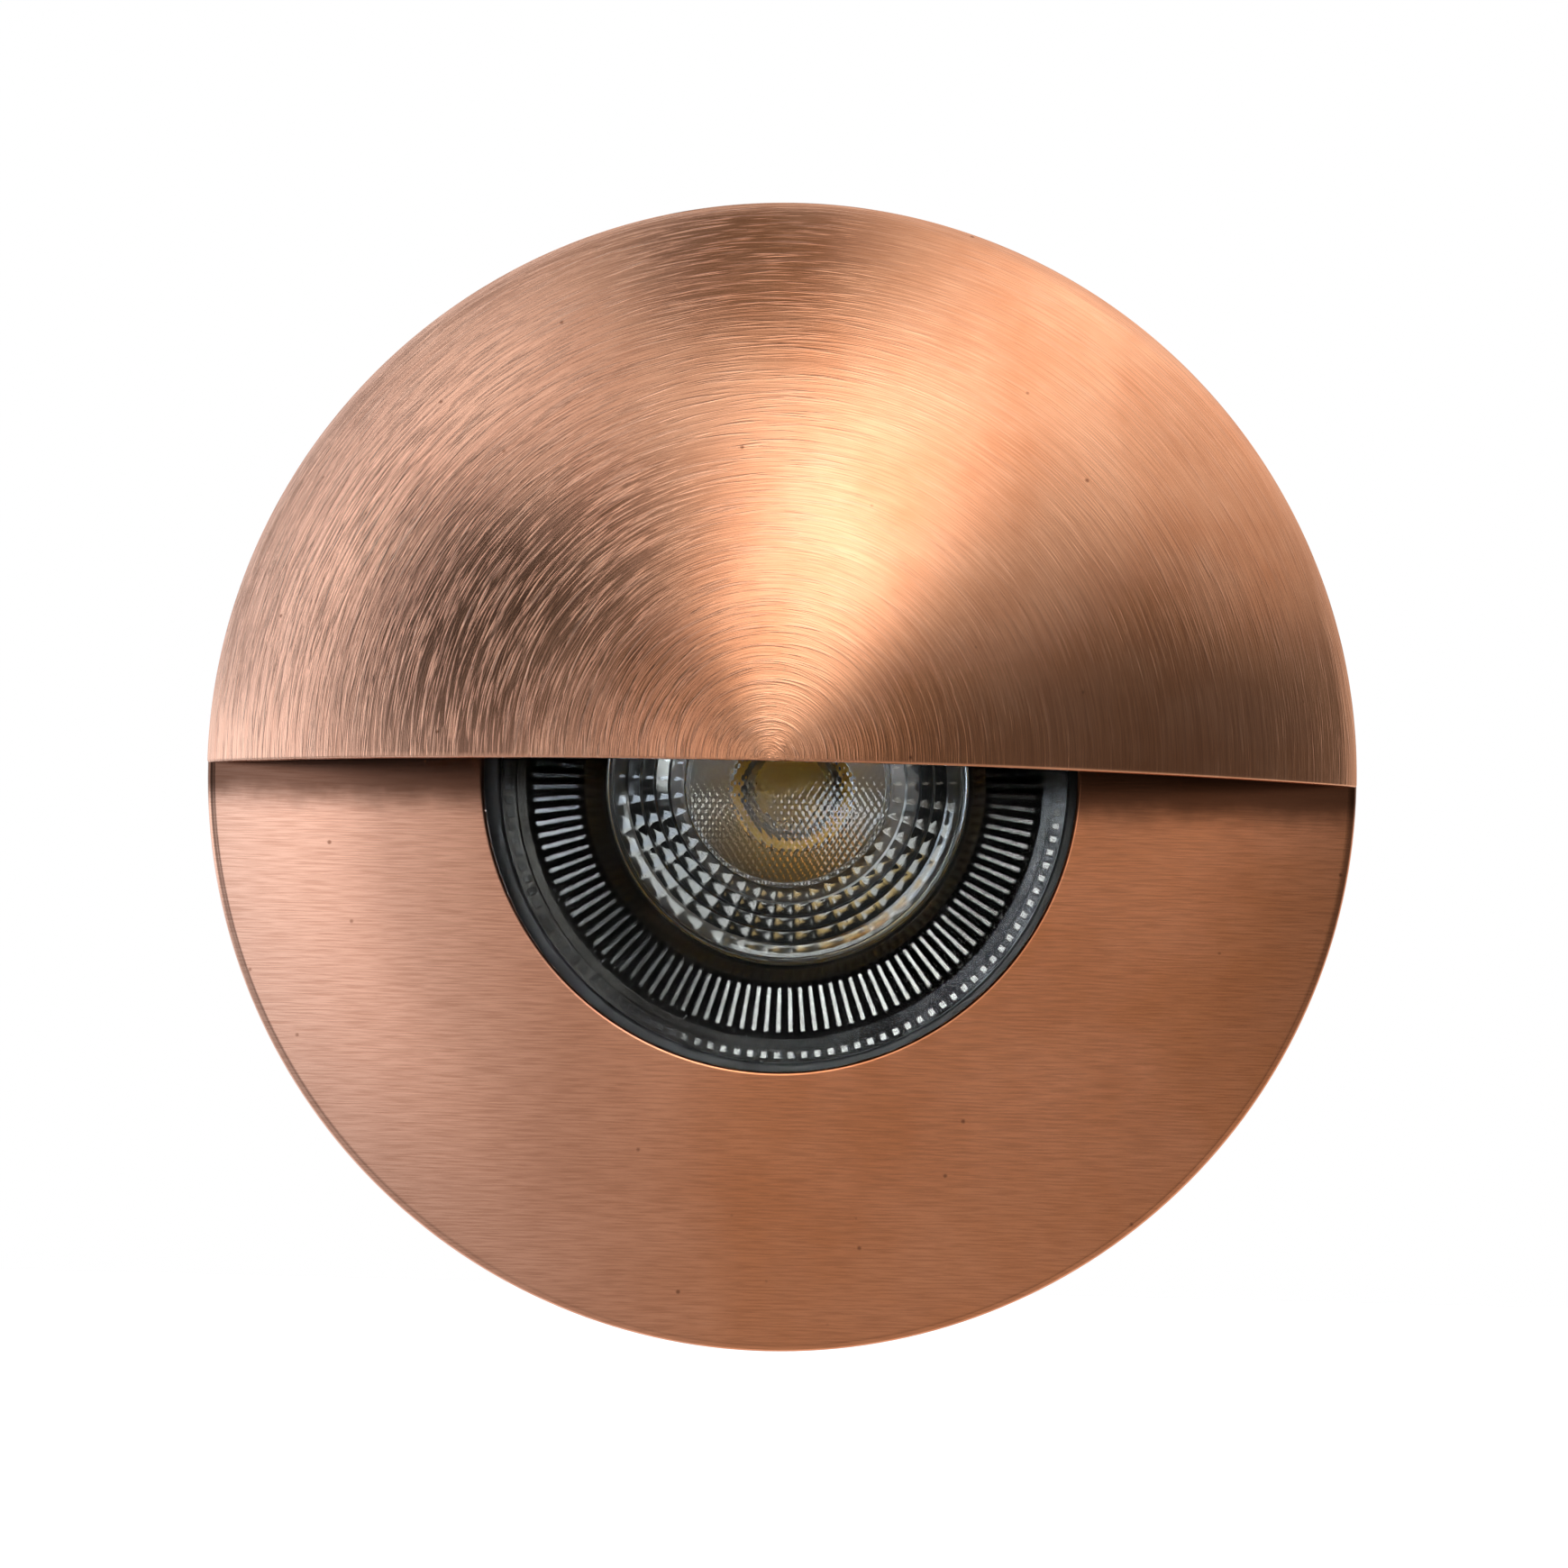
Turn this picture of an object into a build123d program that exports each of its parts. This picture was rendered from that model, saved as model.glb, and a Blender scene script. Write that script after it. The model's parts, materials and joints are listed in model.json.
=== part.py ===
from build123d import *
import math
import os

# A recessed step light for a stair riser or low wall, with a 50 mm two-pin reflector lamp.
# Millimetres. The origin is on the light's axis in the plane of the wall. +Y goes into the wall,
# -Y faces the viewer and +Z is up. Every turned profile below is a list of (radius, depth)
# corners, with an optional third value that bevels or rounds the corner.

# ---- driving dimensions: face -------------------------------------------------------------
PLATE_R = 46.0
OPENING_R = 23.75
SHEET = 1.5
PLATE_FRONT = -4.0
PLATE_EDGE_ROUND = 0.5
CROWN_R = 34.0
EDGE_FALL = 0.4
OPENING_BEVEL = 0.25
RIM_WALL = 1.2
HOOD_DEPTH = 20.0
HOOD_WALL = 1.2
COLLAR_R = 30.1
COLLAR_END = 8.2

# ---- driving dimensions: barrel, sleeve and their seals ------------------------------------
FIT_GAP = 0.05
NOSE_R = 28.0
NOSE_BORE_R = 25.6
NOSE_FRONT = 2.2
SHOULDER = 9.0
BARREL_R = 29.5
BARREL_BORE_R = 27.0
BARREL_FLOOR = 84.0
BARREL_END = 88.0
SEAL_GROOVE_R = 28.1
SEAL_GROOVE_WIDTH = 3.4
SEAL_DEPTHS = (22.0, 70.0)
ORING_SECTION_R = 1.4
SLEEVE_BORE_R = 31.0
SLEEVE_R = 33.5
SLEEVE_LENGTH = 122.0
CAP_BACK = 125.0
SPIGOT_R = SLEEVE_BORE_R - FIT_GAP
SPIGOT_BORE_R = 28.6
SPIGOT_LENGTH = 8.0
FLANGE_R = 43.5
FLANGE_THICK = 2.0
FLANGE_HOLES = 4
FLANGE_HOLE_R = 2.2
FLANGE_HOLE_CIRCLE_R = 38.5
SINK_DEPTH = 1.2
SOCKET_R = 14.2
SOCKET_BORE_R = 10.7
SOCKET_STOP_R = 9.0
SOCKET_END = 145.0
GUSSETS = 8
GUSSET_HEIGHT = 6.0
WEEP_HOLE_R = 2.0
WEEP_HOLE_DEPTH = 14.0

# ---- driving dimensions: cover glass --------------------------------------------------------
GLASS_R = 26.0
GLASS_THICK = 3.0
GASKET_LIP = 0.8
GASKET_R = 27.7
GASKET_OPENING_R = 24.6

# ---- driving dimensions: lamp ---------------------------------------------------------------
LAMP_R = 25.0
LAMP_FRONT = 3.4
LAMP_RING_DEPTH = 3.0
RIM_INNER_R = 22.9
RIBS = 128
RIB_HEIGHT = 0.6
RIB_WIDTH = 0.46
RIBS_OUTER_R = 20.9
RIBS_INNER_R = 16.3
SHOULDER_FALL = 0.7
BAND_DEPTH = 4.8
BAFFLE_FLOOR = 10.6
BAFFLE_BACK = 12.4
STEP_DEPTH = 4.0
BAND_OUTER_R = 21.8
TOOTH_MIDDLE_R = 22.3
TOOTH_LENGTH = 0.6
TOOTH_WIDTH = 0.55
TOOTH_HEIGHT = 0.5
LENS_R = 14.75
LENS_FRONT = 10.0
FACETS_AROUND = 42
FACET_ROWS = 5
FACETS_OUTER_R = 14.2
FACETS_INNER_R = 8.5
FACET_SLOPE = 0.16
FACET_STEP = 0.14
EMITTER_FRONT = 23.3
LED_BOARD_FRONT = 25.0
LED_BOARD_BACK = 26.6
FINS = 16
LAMP_BODY_END = 38.0
LAMP_BASE_END = 49.5
PIN_R = 0.75
PIN_HALF_SPACING = 2.65
PIN_END = 57.0

# ---- driving dimensions: holder, leads and gland ----------------------------------------------
HOLDER_END = 60.5
EAR_THICK = 3.0
EAR_SCREW_X = 12.2
BRACKET_THICK = 1.2
STANDOFF_X = 19.0
STANDOFF_R = 2.6
SCREW_R = 1.45
SCREW_HEAD_R = 2.6
SCREW_HEAD_THICK = 1.6
LEAD_R = 1.1
LEAD_SIDES = 8
LEAD_X = 4.2
LEAD_SOCKET = 1.5
TERMINAL_Z = 14.0
GLAND_THREAD_R = 6.0
GLAND_HEX = 15.0
GLAND_WASHER_R = 8.4
GLAND_WASHER_THICK = 0.8
GLAND_SPIGOT_R = 6.4
GLAND_SEAT_R = 5.2
GLAND_MOUTH_R = 4.3
CABLE_R = 3.3


# ---- helpers ----------------------------------------------------------------------------------
def bevelled(points, sizes):
    """Replace each corner that has a size by two points, that far along its two sides."""
    outline = []
    for i, size in enumerate(sizes):
        corner = Vector(*points[i])
        for neighbour in (points[i - 1], points[(i + 1) % len(points)]):
            outline.append(corner + (Vector(*neighbour) - corner).normalized() * size)
        if size == 0:
            outline.pop()
    return outline


def turned(*corners, rounded=False):
    """A solid of revolution about the light's axis, from (radius, depth[, corner size]) corners."""
    points = [corner[:2] for corner in corners]
    sizes = [corner[2] if len(corner) > 2 else 0 for corner in corners]
    if rounded:
        outline = FilletPolyline(*points, radius=sizes, close=True)
    else:
        outline = Polyline(*bevelled(points, sizes), close=True)
    return revolve(make_face(outline), Axis.Y)


def facing(depth, x=0, z=0):
    """A drawing plane across the light's axis: its local x and y run along +X and +Z."""
    return Plane(origin=(x, depth, z), x_dir=(1, 0, 0), z_dir=(0, -1, 0))


def prism(sketch, near, far, x=0, z=0):
    """Carry a sketch straight back from depth near to depth far."""
    return extrude(facing(near, x, z) * sketch, amount=near - far)


def rod(radius, near, far, x=0, z=0):
    """A round bar along the light's axis."""
    return prism(Circle(radius), near, far, x, z)


def polygon_points(radius, count, offset_deg=0):
    """Corners of a regular polygon in a drawing plane."""
    angles = [math.radians(offset_deg + 360 * i / count) for i in range(count)]
    return [(radius * math.cos(a), radius * math.sin(a)) for a in angles]


def flat_outline(points, depth):
    """A closed straight-sided face across the axis."""
    return facing(depth) * make_face(Polyline(*points, close=True))


def around(count, radius, start_deg=0):
    """Places of a ring of equal parts, as (x, z, angle in degrees)."""
    angles = [start_deg + 360 * i / count for i in range(count)]
    return [
        (radius * math.cos(math.radians(a)), radius * math.sin(math.radians(a)), a)
        for a in angles
    ]


def pan_head_screw(head_front, length, x, z, radius=SCREW_R, head_r=SCREW_HEAD_R):
    """A screw that points into the wall, with a bevelled head and a straight slot."""
    head_back = head_front + SCREW_HEAD_THICK
    slot_width = 0.7
    slot_bottom = head_front + SCREW_HEAD_THICK / 2
    head = rod(head_r, head_front, head_back, x, z)
    head = chamfer(head.edges().group_by(Axis.Y)[0], 0.6)
    slot = prism(Rectangle(2 * head_r, slot_width), head_front - 1, slot_bottom, x, z)
    return head - slot + rod(radius, head_back, head_back + length, x, z)


# ---- face: plate, hood and collar ----------------------------------------------------------------
def plate_front_at(radius):
    """Depth of the plate's front, flat in the middle and falling away to its edge."""
    return PLATE_FRONT + EDGE_FALL * max(0, radius - CROWN_R) / (PLATE_R - CROWN_R)


def make_face_plate():
    """A disc with a turned-back rim that stands on the wall and hides the sleeve's flange."""
    back = PLATE_FRONT + SHEET
    inner_rim = PLATE_R - RIM_WALL
    return turned(
        (OPENING_R, PLATE_FRONT + OPENING_BEVEL),
        (OPENING_R + OPENING_BEVEL, PLATE_FRONT),
        (CROWN_R, PLATE_FRONT),
        (PLATE_R, plate_front_at(PLATE_R), PLATE_EDGE_ROUND),
        (PLATE_R, 0),
        (inner_rim, 0),
        (inner_rim, back),
        (OPENING_R, back),
        rounded=True,
    )


def hood_sphere(wall):
    """Centre depth and radius of the hood's sphere, outer for wall 0 or inner for its wall."""
    radius = (PLATE_R**2 + HOOD_DEPTH**2) / (2 * HOOD_DEPTH)
    centre = PLATE_FRONT - HOOD_DEPTH + radius
    return centre, radius - wall


def make_eyelid_hood():
    """The upper half of a spun dome. Its rim stands on the plate, its cut edge is level."""
    centre, outer = hood_sphere(0)
    _, inner = hood_sphere(HOOD_WALL)
    foot_inner = math.sqrt(inner**2 - (centre - PLATE_FRONT) ** 2)
    half_angle = math.asin(PLATE_R / outer) / 2
    bend_outer = (outer * math.sin(half_angle), centre - outer * math.cos(half_angle))
    bend_inner = (inner * math.sin(half_angle), centre - inner * math.cos(half_angle))
    crown_outer = (0, centre - outer)
    crown_inner = (0, centre - inner)
    foot = Polyline(
        (foot_inner, PLATE_FRONT),
        (foot_inner, plate_front_at(foot_inner)),
        (PLATE_R, plate_front_at(PLATE_R)),
        (PLATE_R, PLATE_FRONT),
    )
    outside = ThreePointArc((PLATE_R, PLATE_FRONT), bend_outer, crown_outer)
    crown = Line(crown_outer, crown_inner)
    inside = ThreePointArc(crown_inner, bend_inner, (foot_inner, PLATE_FRONT))
    dome = revolve(make_face([foot, outside, crown, inside]), Axis.Y)
    lower_half = Box(3 * PLATE_R, 3 * PLATE_R, 2 * PLATE_R)
    return dome - Pos(0, 0, -PLATE_R) * lower_half


def make_face_collar():
    """The ring soldered behind the plate. Its bore screws over the barrel's nose."""
    back = PLATE_FRONT + SHEET
    bore = NOSE_R + FIT_GAP
    return turned(
        (bore, back),
        (COLLAR_R, back),
        (COLLAR_R, COLLAR_END, 0.6),
        (bore + 0.5, COLLAR_END),
        (bore, COLLAR_END - 0.5),
    )


# ---- lens pack: cover glass and its edge gasket ----------------------------------------------------
def glass_front():
    return PLATE_FRONT + SHEET + FIT_GAP + GASKET_LIP


def make_lens_glass():
    """A flat toughened disc with a ground edge."""
    front = glass_front()
    back = front + GLASS_THICK
    ground = 0.3
    return turned(
        (0, front),
        (GLASS_R - ground, front),
        (GLASS_R, front + ground),
        (GLASS_R, back - ground),
        (GLASS_R - ground, back),
        (0, back),
    )


def make_lens_gasket():
    """A rubber ring of U section that wraps the edge of the glass."""
    front = glass_front()
    back = front + GLASS_THICK
    ring = turned(
        (GASKET_OPENING_R, front - GASKET_LIP),
        (GASKET_R, front - GASKET_LIP, 0.4),
        (GASKET_R, back + GASKET_LIP, 0.4),
        (GASKET_OPENING_R, back + GASKET_LIP),
    )
    return ring - make_lens_glass()


# ---- barrel ------------------------------------------------------------------------------------------
def make_barrel():
    """A turned cup with a threaded nose, two seal grooves and a closed rear wall."""
    tube = turned(
        (NOSE_BORE_R, NOSE_FRONT),
        (NOSE_R - 0.5, NOSE_FRONT),
        (NOSE_R, NOSE_FRONT + 0.5),
        (NOSE_R, SHOULDER),
        (BARREL_R, SHOULDER),
        (BARREL_R, BARREL_END, 1.5),
        (0, BARREL_END),
        (0, BARREL_FLOOR),
        (BARREL_BORE_R, BARREL_FLOOR, 1.0),
        (BARREL_BORE_R, SHOULDER + 4.0),
        (NOSE_BORE_R, SHOULDER + 2.0),
    )
    for depth in SEAL_DEPTHS:
        near = depth - SEAL_GROOVE_WIDTH / 2
        groove = turned(
            (SEAL_GROOVE_R, near),
            (BARREL_R + 1, near),
            (BARREL_R + 1, near + SEAL_GROOVE_WIDTH),
            (SEAL_GROOVE_R, near + SEAL_GROOVE_WIDTH),
        )
        tube = tube - groove
    tube = tube - rod(GLAND_THREAD_R, BARREL_FLOOR - 1, BARREL_END + 1)
    return tube


def make_barrel_oring(depth):
    """A friction ring, squeezed to flats where it meets its groove and the sleeve's bore."""
    middle_r = SEAL_GROOVE_R + FIT_GAP + ORING_SECTION_R
    half_turn_of_side = 22.5
    section = RegularPolygon(ORING_SECTION_R, 8, major_radius=False, rotation=half_turn_of_side)
    return revolve(Pos(middle_r, depth) * section, Axis.Y)


# ---- sleeve in the wall --------------------------------------------------------------------------------
def make_wall_sleeve():
    """A moulded tube with a flange against the wall, screw holes and a weep hole."""
    lead_in = 1.4
    body = turned(
        (SLEEVE_BORE_R + 0.8, -FLANGE_THICK),
        (FLANGE_R, -FLANGE_THICK, 0.6),
        (FLANGE_R, 0),
        (SLEEVE_R, 0),
        (SLEEVE_R, SLEEVE_LENGTH),
        (SLEEVE_BORE_R, SLEEVE_LENGTH),
        (SLEEVE_BORE_R, lead_in - FLANGE_THICK),
    )
    for x, z, _ in around(FLANGE_HOLES, FLANGE_HOLE_CIRCLE_R, 45):
        body = body - rod(FLANGE_HOLE_R, -FLANGE_THICK - 1, 1, x, z)
        sink = Cone(FLANGE_HOLE_R, FLANGE_HOLE_R + SINK_DEPTH, SINK_DEPTH)
        body = body - Pos(x, -FLANGE_THICK + SINK_DEPTH / 2, z) * Rot(90, 0, 0) * sink
    weep_hole = Cylinder(WEEP_HOLE_R, 4 * (SLEEVE_R - SLEEVE_BORE_R))
    return body - Pos(0, WEEP_HOLE_DEPTH, -SLEEVE_R) * weep_hole


def make_sleeve_cap():
    """The end cap cemented into the tube, with a conduit socket and its stiffening gussets."""
    mouth_bevel = 0.5
    body = turned(
        (SPIGOT_R, SLEEVE_LENGTH - SPIGOT_LENGTH, 0.5),
        (SPIGOT_R, SLEEVE_LENGTH),
        (SLEEVE_R, SLEEVE_LENGTH),
        (SLEEVE_R, CAP_BACK, 1.5),
        (SOCKET_R, CAP_BACK),
        (SOCKET_R, SOCKET_END),
        (SOCKET_BORE_R + mouth_bevel, SOCKET_END),
        (SOCKET_BORE_R, SOCKET_END - mouth_bevel),
        (SOCKET_BORE_R, CAP_BACK),
        (SOCKET_STOP_R, CAP_BACK),
        (SOCKET_STOP_R, SLEEVE_LENGTH),
        (SPIGOT_BORE_R, SLEEVE_LENGTH),
        (SPIGOT_BORE_R, SLEEVE_LENGTH - SPIGOT_LENGTH),
    )
    overlap = 0.5
    side_view = Polyline(
        (SOCKET_R - overlap, CAP_BACK - overlap),
        (SLEEVE_R - 3.0, CAP_BACK - overlap),
        (SLEEVE_R - 3.0, CAP_BACK + 0.8),
        (SOCKET_R - overlap, CAP_BACK + GUSSET_HEIGHT),
        close=True,
    )
    gusset = extrude(make_face(side_view), amount=1.0, both=True)
    return body + [Rot(0, angle, 0) * gusset for _, _, angle in around(GUSSETS, 0)]


# ---- lamp --------------------------------------------------------------------------------------------------
def make_lamp_rim():
    """The grey ring round the lamp's front."""
    return turned(
        (RIM_INNER_R, LAMP_FRONT, 0.25),
        (LAMP_R, LAMP_FRONT, 0.8),
        (LAMP_R, LAMP_FRONT + LAMP_RING_DEPTH),
        (RIM_INNER_R, LAMP_FRONT + LAMP_RING_DEPTH),
    )


def make_lamp_baffle():
    """The black ring round the lens. Radial ribs on its shoulder and a ring of teeth break up glare."""
    valley = BAND_DEPTH + RIB_HEIGHT
    seat_r = LENS_R + 0.1
    baffle = turned(
        (RIM_INNER_R, STEP_DEPTH),
        (BAND_OUTER_R, STEP_DEPTH),
        (BAND_OUTER_R, BAND_DEPTH),
        (seat_r, BAND_DEPTH),
        (seat_r, BAFFLE_BACK),
        (RIBS_INNER_R + 1.6, BAFFLE_BACK),
        (RIM_INNER_R, LAMP_FRONT + LAMP_RING_DEPTH),
    )
    hollow_sides = (
        (RIBS_OUTER_R, BAND_DEPTH - 1),
        (RIBS_OUTER_R, valley),
        (RIBS_INNER_R, valley + SHOULDER_FALL),
        (seat_r, BAFFLE_FLOOR),
    )
    hollow = [flat_outline(polygon_points(radius, RIBS), depth) for radius, depth in hollow_sides]
    baffle = baffle - loft(hollow, ruled=True)
    sunk = 0.1
    rib_side = Polyline(
        (RIBS_INNER_R, BAND_DEPTH + SHOULDER_FALL),
        (RIBS_OUTER_R + sunk, BAND_DEPTH),
        (RIBS_OUTER_R + sunk, valley + sunk),
        (RIBS_INNER_R, valley + SHOULDER_FALL + sunk),
        close=True,
    )
    rib = extrude(make_face(rib_side), amount=RIB_WIDTH / 2, both=True)
    ribs = [Rot(0, angle, 0) * rib for _, _, angle in around(RIBS, 0)]
    teeth = []
    for x, z, angle in around(RIBS, TOOTH_MIDDLE_R):
        block = Rot(0, 0, angle) * Rectangle(TOOTH_LENGTH, TOOTH_WIDTH)
        teeth.append(prism(block, STEP_DEPTH - TOOTH_HEIGHT, STEP_DEPTH + 0.2, x, z))
    return baffle + ribs + teeth


def facet_dish():
    """The hollow that the lens's front leaves: rows of flat facets that step down to the middle."""
    row_width = (FACETS_OUTER_R - FACETS_INNER_R) / FACET_ROWS
    depth = LENS_FRONT + 0.3
    sections = [flat_outline(polygon_points(FACETS_OUTER_R, FACETS_AROUND), LENS_FRONT - 1)]
    for row in range(FACET_ROWS):
        outer = FACETS_OUTER_R - row * row_width
        inner = outer - row_width
        sections.append(flat_outline(polygon_points(outer, FACETS_AROUND), depth))
        depth = depth + FACET_SLOPE
        sections.append(flat_outline(polygon_points(inner, FACETS_AROUND), depth))
        depth = depth + FACET_STEP
    return loft(sections, ruled=True), depth


def make_lamp_lens():
    """A moulded collimator lens: a facetted dish in front, a steep hollow cone behind."""
    cone_end = EMITTER_FRONT - 0.3
    blank = turned(
        (0, LENS_FRONT),
        (LENS_R, LENS_FRONT, 0.3),
        (LENS_R, BAFFLE_BACK),
        (LENS_R - 1.5, BAFFLE_BACK + 0.2),
        (9.0, 17.5),
        (4.6, cone_end),
        (3.9, cone_end),
        (3.4, 18.6, 0.6),
        (0, 18.0),
    )
    dish, bottom = facet_dish()
    middle_r = FACETS_INNER_R - 0.5
    middle = turned(
        (0, LENS_FRONT - 1),
        (FACETS_INNER_R - 0.1, LENS_FRONT - 1),
        (FACETS_INNER_R - 0.1, bottom + 0.5),
        (middle_r, bottom + 0.5),
        (middle_r, bottom),
        (0, bottom - 0.3),
    )
    return blank - dish - middle


def make_led_chip():
    """The round yellow emitter on its square carrier."""
    carrier_front = LED_BOARD_FRONT - 1.0
    emitter = rod(3.2, EMITTER_FRONT, carrier_front)
    carrier = prism(RectangleRounded(10, 10, 0.8), carrier_front, LED_BOARD_FRONT)
    return emitter + carrier


def make_led_board():
    """A round metal-backed board with two screw notches."""
    board = rod(11.0, LED_BOARD_FRONT, LED_BOARD_BACK)
    for x, z, _ in around(2, 10.6, 90):
        board = board - rod(1.7, LED_BOARD_FRONT - 1, LED_BOARD_BACK + 1, x, z)
    return board


def make_lamp_housing():
    """A cast bowl with cooling fins that narrows from the front ring to the base."""
    ring_front = LAMP_FRONT + LAMP_RING_DEPTH
    ring_back = LAMP_FRONT + 5.0
    shell = turned(
        (RIM_INNER_R, ring_front),
        (LAMP_R, ring_front),
        (LAMP_R, ring_back),
        (23.4, ring_back),
        (13.0, 30.0),
        (11.5, LAMP_BODY_END),
        (8.0, LAMP_BODY_END),
        (8.0, LED_BOARD_BACK),
        (11.6, LED_BOARD_BACK),
        (12.2, 22.0),
        (22.2, ring_back),
    )
    fin_side = Polyline(
        (22.8, ring_back),
        (LAMP_R - 0.4, ring_back),
        (21.6, 22.0),
        (15.2, 36.0),
        (15.0, LAMP_BODY_END),
        (11.0, LAMP_BODY_END),
        (12.4, 30.0),
        (14.6, 22.0),
        close=True,
    )
    fin = extrude(make_face(fin_side), amount=0.5, both=True)
    return shell + [Rot(0, angle, 0) * fin for _, _, angle in around(FINS, 0)]


def make_lamp_base():
    """The narrow two-pin base, with flats on its long sides."""
    foot_end = LAMP_BODY_END + 4.0
    foot = prism(RectangleRounded(22.0, 15.0, 4.0), LAMP_BODY_END, foot_end)
    neck = prism(RectangleRounded(17.5, 9.5, 2.0), foot_end, LAMP_BASE_END)
    return foot + chamfer(neck.edges().group_by(Axis.Y)[-1], 0.6)


def make_lamp_pins():
    """Two straight pins with bevelled ends."""
    pins = []
    for x in (-PIN_HALF_SPACING, PIN_HALF_SPACING):
        pin = rod(PIN_R, LAMP_BASE_END, PIN_END, x)
        pins.append(chamfer(pin.edges().group_by(Axis.Y)[-1], 0.35))
    return Compound(pins)


def make_driver_board():
    """The upright circuit board inside the lamp's base."""
    return Pos(0, LAMP_BODY_END - 5.5, 0) * Box(13.0, 11.0, 1.0)


def make_driver_parts():
    """The capacitor, coil and rectifier on the driver board."""
    capacitor = Pos(-2.6, 32.6, 3.1) * Rot(90, 0, 0) * Cylinder(2.3, 8.0)
    coil = Pos(3.6, 31.0, 2.4) * Box(4.4, 5.0, 3.8)
    rectifier = Pos(0, 33.0, -1.6) * Box(6.0, 5.0, 2.2)
    return Compound([capacitor.solid(), coil.solid(), rectifier.solid()])


# ---- lampholder and its bracket ----------------------------------------------------------------------------
def make_lampholder():
    """A glazed ceramic block with two funnel-mouthed pin holes and two mounting ears."""
    block = prism(RectangleRounded(19.0, 11.0, 2.0), LAMP_BASE_END, HOLDER_END)
    ears = prism(RectangleRounded(30.0, 8.0, 3.0), HOLDER_END - EAR_THICK, HOLDER_END)
    holder = block + ears
    pin_hole_r = 1.6
    funnel_depth = 0.8
    for x in (-PIN_HALF_SPACING, PIN_HALF_SPACING):
        holder = holder - rod(pin_hole_r, LAMP_BASE_END - 1, HOLDER_END - 2.0, x)
        funnel = Cone(pin_hole_r, pin_hole_r + 0.7, funnel_depth)
        holder = holder - Pos(x, LAMP_BASE_END + funnel_depth / 2, 0) * Rot(90, 0, 0) * funnel
    for x in (-EAR_SCREW_X, EAR_SCREW_X):
        holder = holder - rod(SCREW_R + FIT_GAP, HOLDER_END - EAR_THICK - 1, HOLDER_END + 1, x)
    for x in (-LEAD_X, LEAD_X):
        holder = holder - rod(LEAD_R + FIT_GAP, HOLDER_END - LEAD_SOCKET, HOLDER_END + 1, x)
    return holder


def make_lampholder_contacts():
    """Split sleeves that grip the lamp's pins."""
    contacts = []
    for x in (-PIN_HALF_SPACING, PIN_HALF_SPACING):
        sleeve = rod(1.5, LAMP_BASE_END + 1.2, PIN_END + 0.8, x)
        sleeve = sleeve - rod(PIN_R + 0.03, LAMP_BASE_END, PIN_END + 0.1, x)
        sleeve = sleeve - prism(Rectangle(0.4, 4.0), LAMP_BASE_END, PIN_END - 1.0, x)
        contacts.append(sleeve.solid())
    return Compound(contacts)


def make_lampholder_screws():
    """Two screws through the holder's ears into the bracket."""
    front = HOLDER_END - EAR_THICK - SCREW_HEAD_THICK
    reach = EAR_THICK + BRACKET_THICK + 1.4
    screws = [pan_head_screw(front, reach, x, 0).solid() for x in (-EAR_SCREW_X, EAR_SCREW_X)]
    return Compound(screws)


def make_lamp_bracket():
    """A pressed strip across the barrel, with a lead hole and stiffening edges."""
    back = HOLDER_END + BRACKET_THICK
    strip = prism(RectangleRounded(2 * STANDOFF_X + 8.0, 12.0, 4.0), HOLDER_END, back)
    window = prism(SlotOverall(13.0, 5.0), HOLDER_END - 1, back + 1)
    lips = []
    for z in (-5.4, 5.4):
        lips.append(Pos(0, back + 1.0, z) * Box(2 * STANDOFF_X - 10.0, 2.0, 1.2))
    strip = strip + lips - window
    for x in (-STANDOFF_X, -EAR_SCREW_X, EAR_SCREW_X, STANDOFF_X):
        strip = strip - rod(SCREW_R + FIT_GAP, HOLDER_END - 1, back + 1, x)
    return strip


def make_bracket_standoffs():
    """Hexagonal pillars between the bracket and the barrel's rear wall."""
    pillars = []
    for x in (-STANDOFF_X, STANDOFF_X):
        pillar = prism(RegularPolygon(STANDOFF_R, 6), HOLDER_END + BRACKET_THICK, BARREL_FLOOR, x)
        bore = rod(SCREW_R + FIT_GAP, HOLDER_END, HOLDER_END + 9.0, x)
        pillars.append((pillar - bore).solid())
    return Compound(pillars)


def make_bracket_screws():
    """Two screws through the bracket into its pillars."""
    front = HOLDER_END - SCREW_HEAD_THICK
    screws = [pan_head_screw(front, 7.0, x, 0).solid() for x in (-STANDOFF_X, STANDOFF_X)]
    return Compound(screws)


# ---- leads and terminals -------------------------------------------------------------------------------------
def terminal_front():
    return BARREL_FLOOR - 11.0


def make_lead(side):
    """A sleeved lead from the holder's back, up and over into its terminal."""
    x = side * LEAD_X
    start = HOLDER_END - LEAD_SOCKET
    bend = 5.0
    turn_depth = HOLDER_END + 6.0
    route = FilletPolyline(
        (x, start, 0),
        (x, turn_depth, 0),
        (x, turn_depth, TERMINAL_Z),
        (x, terminal_front() + 2.0, TERMINAL_Z),
        radius=[bend, terminal_front() - turn_depth - 2.0],
    )
    profile = Plane(origin=route @ 0, z_dir=route % 0) * RegularPolygon(LEAD_R, LEAD_SIDES)
    return sweep(profile, path=route)


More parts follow.
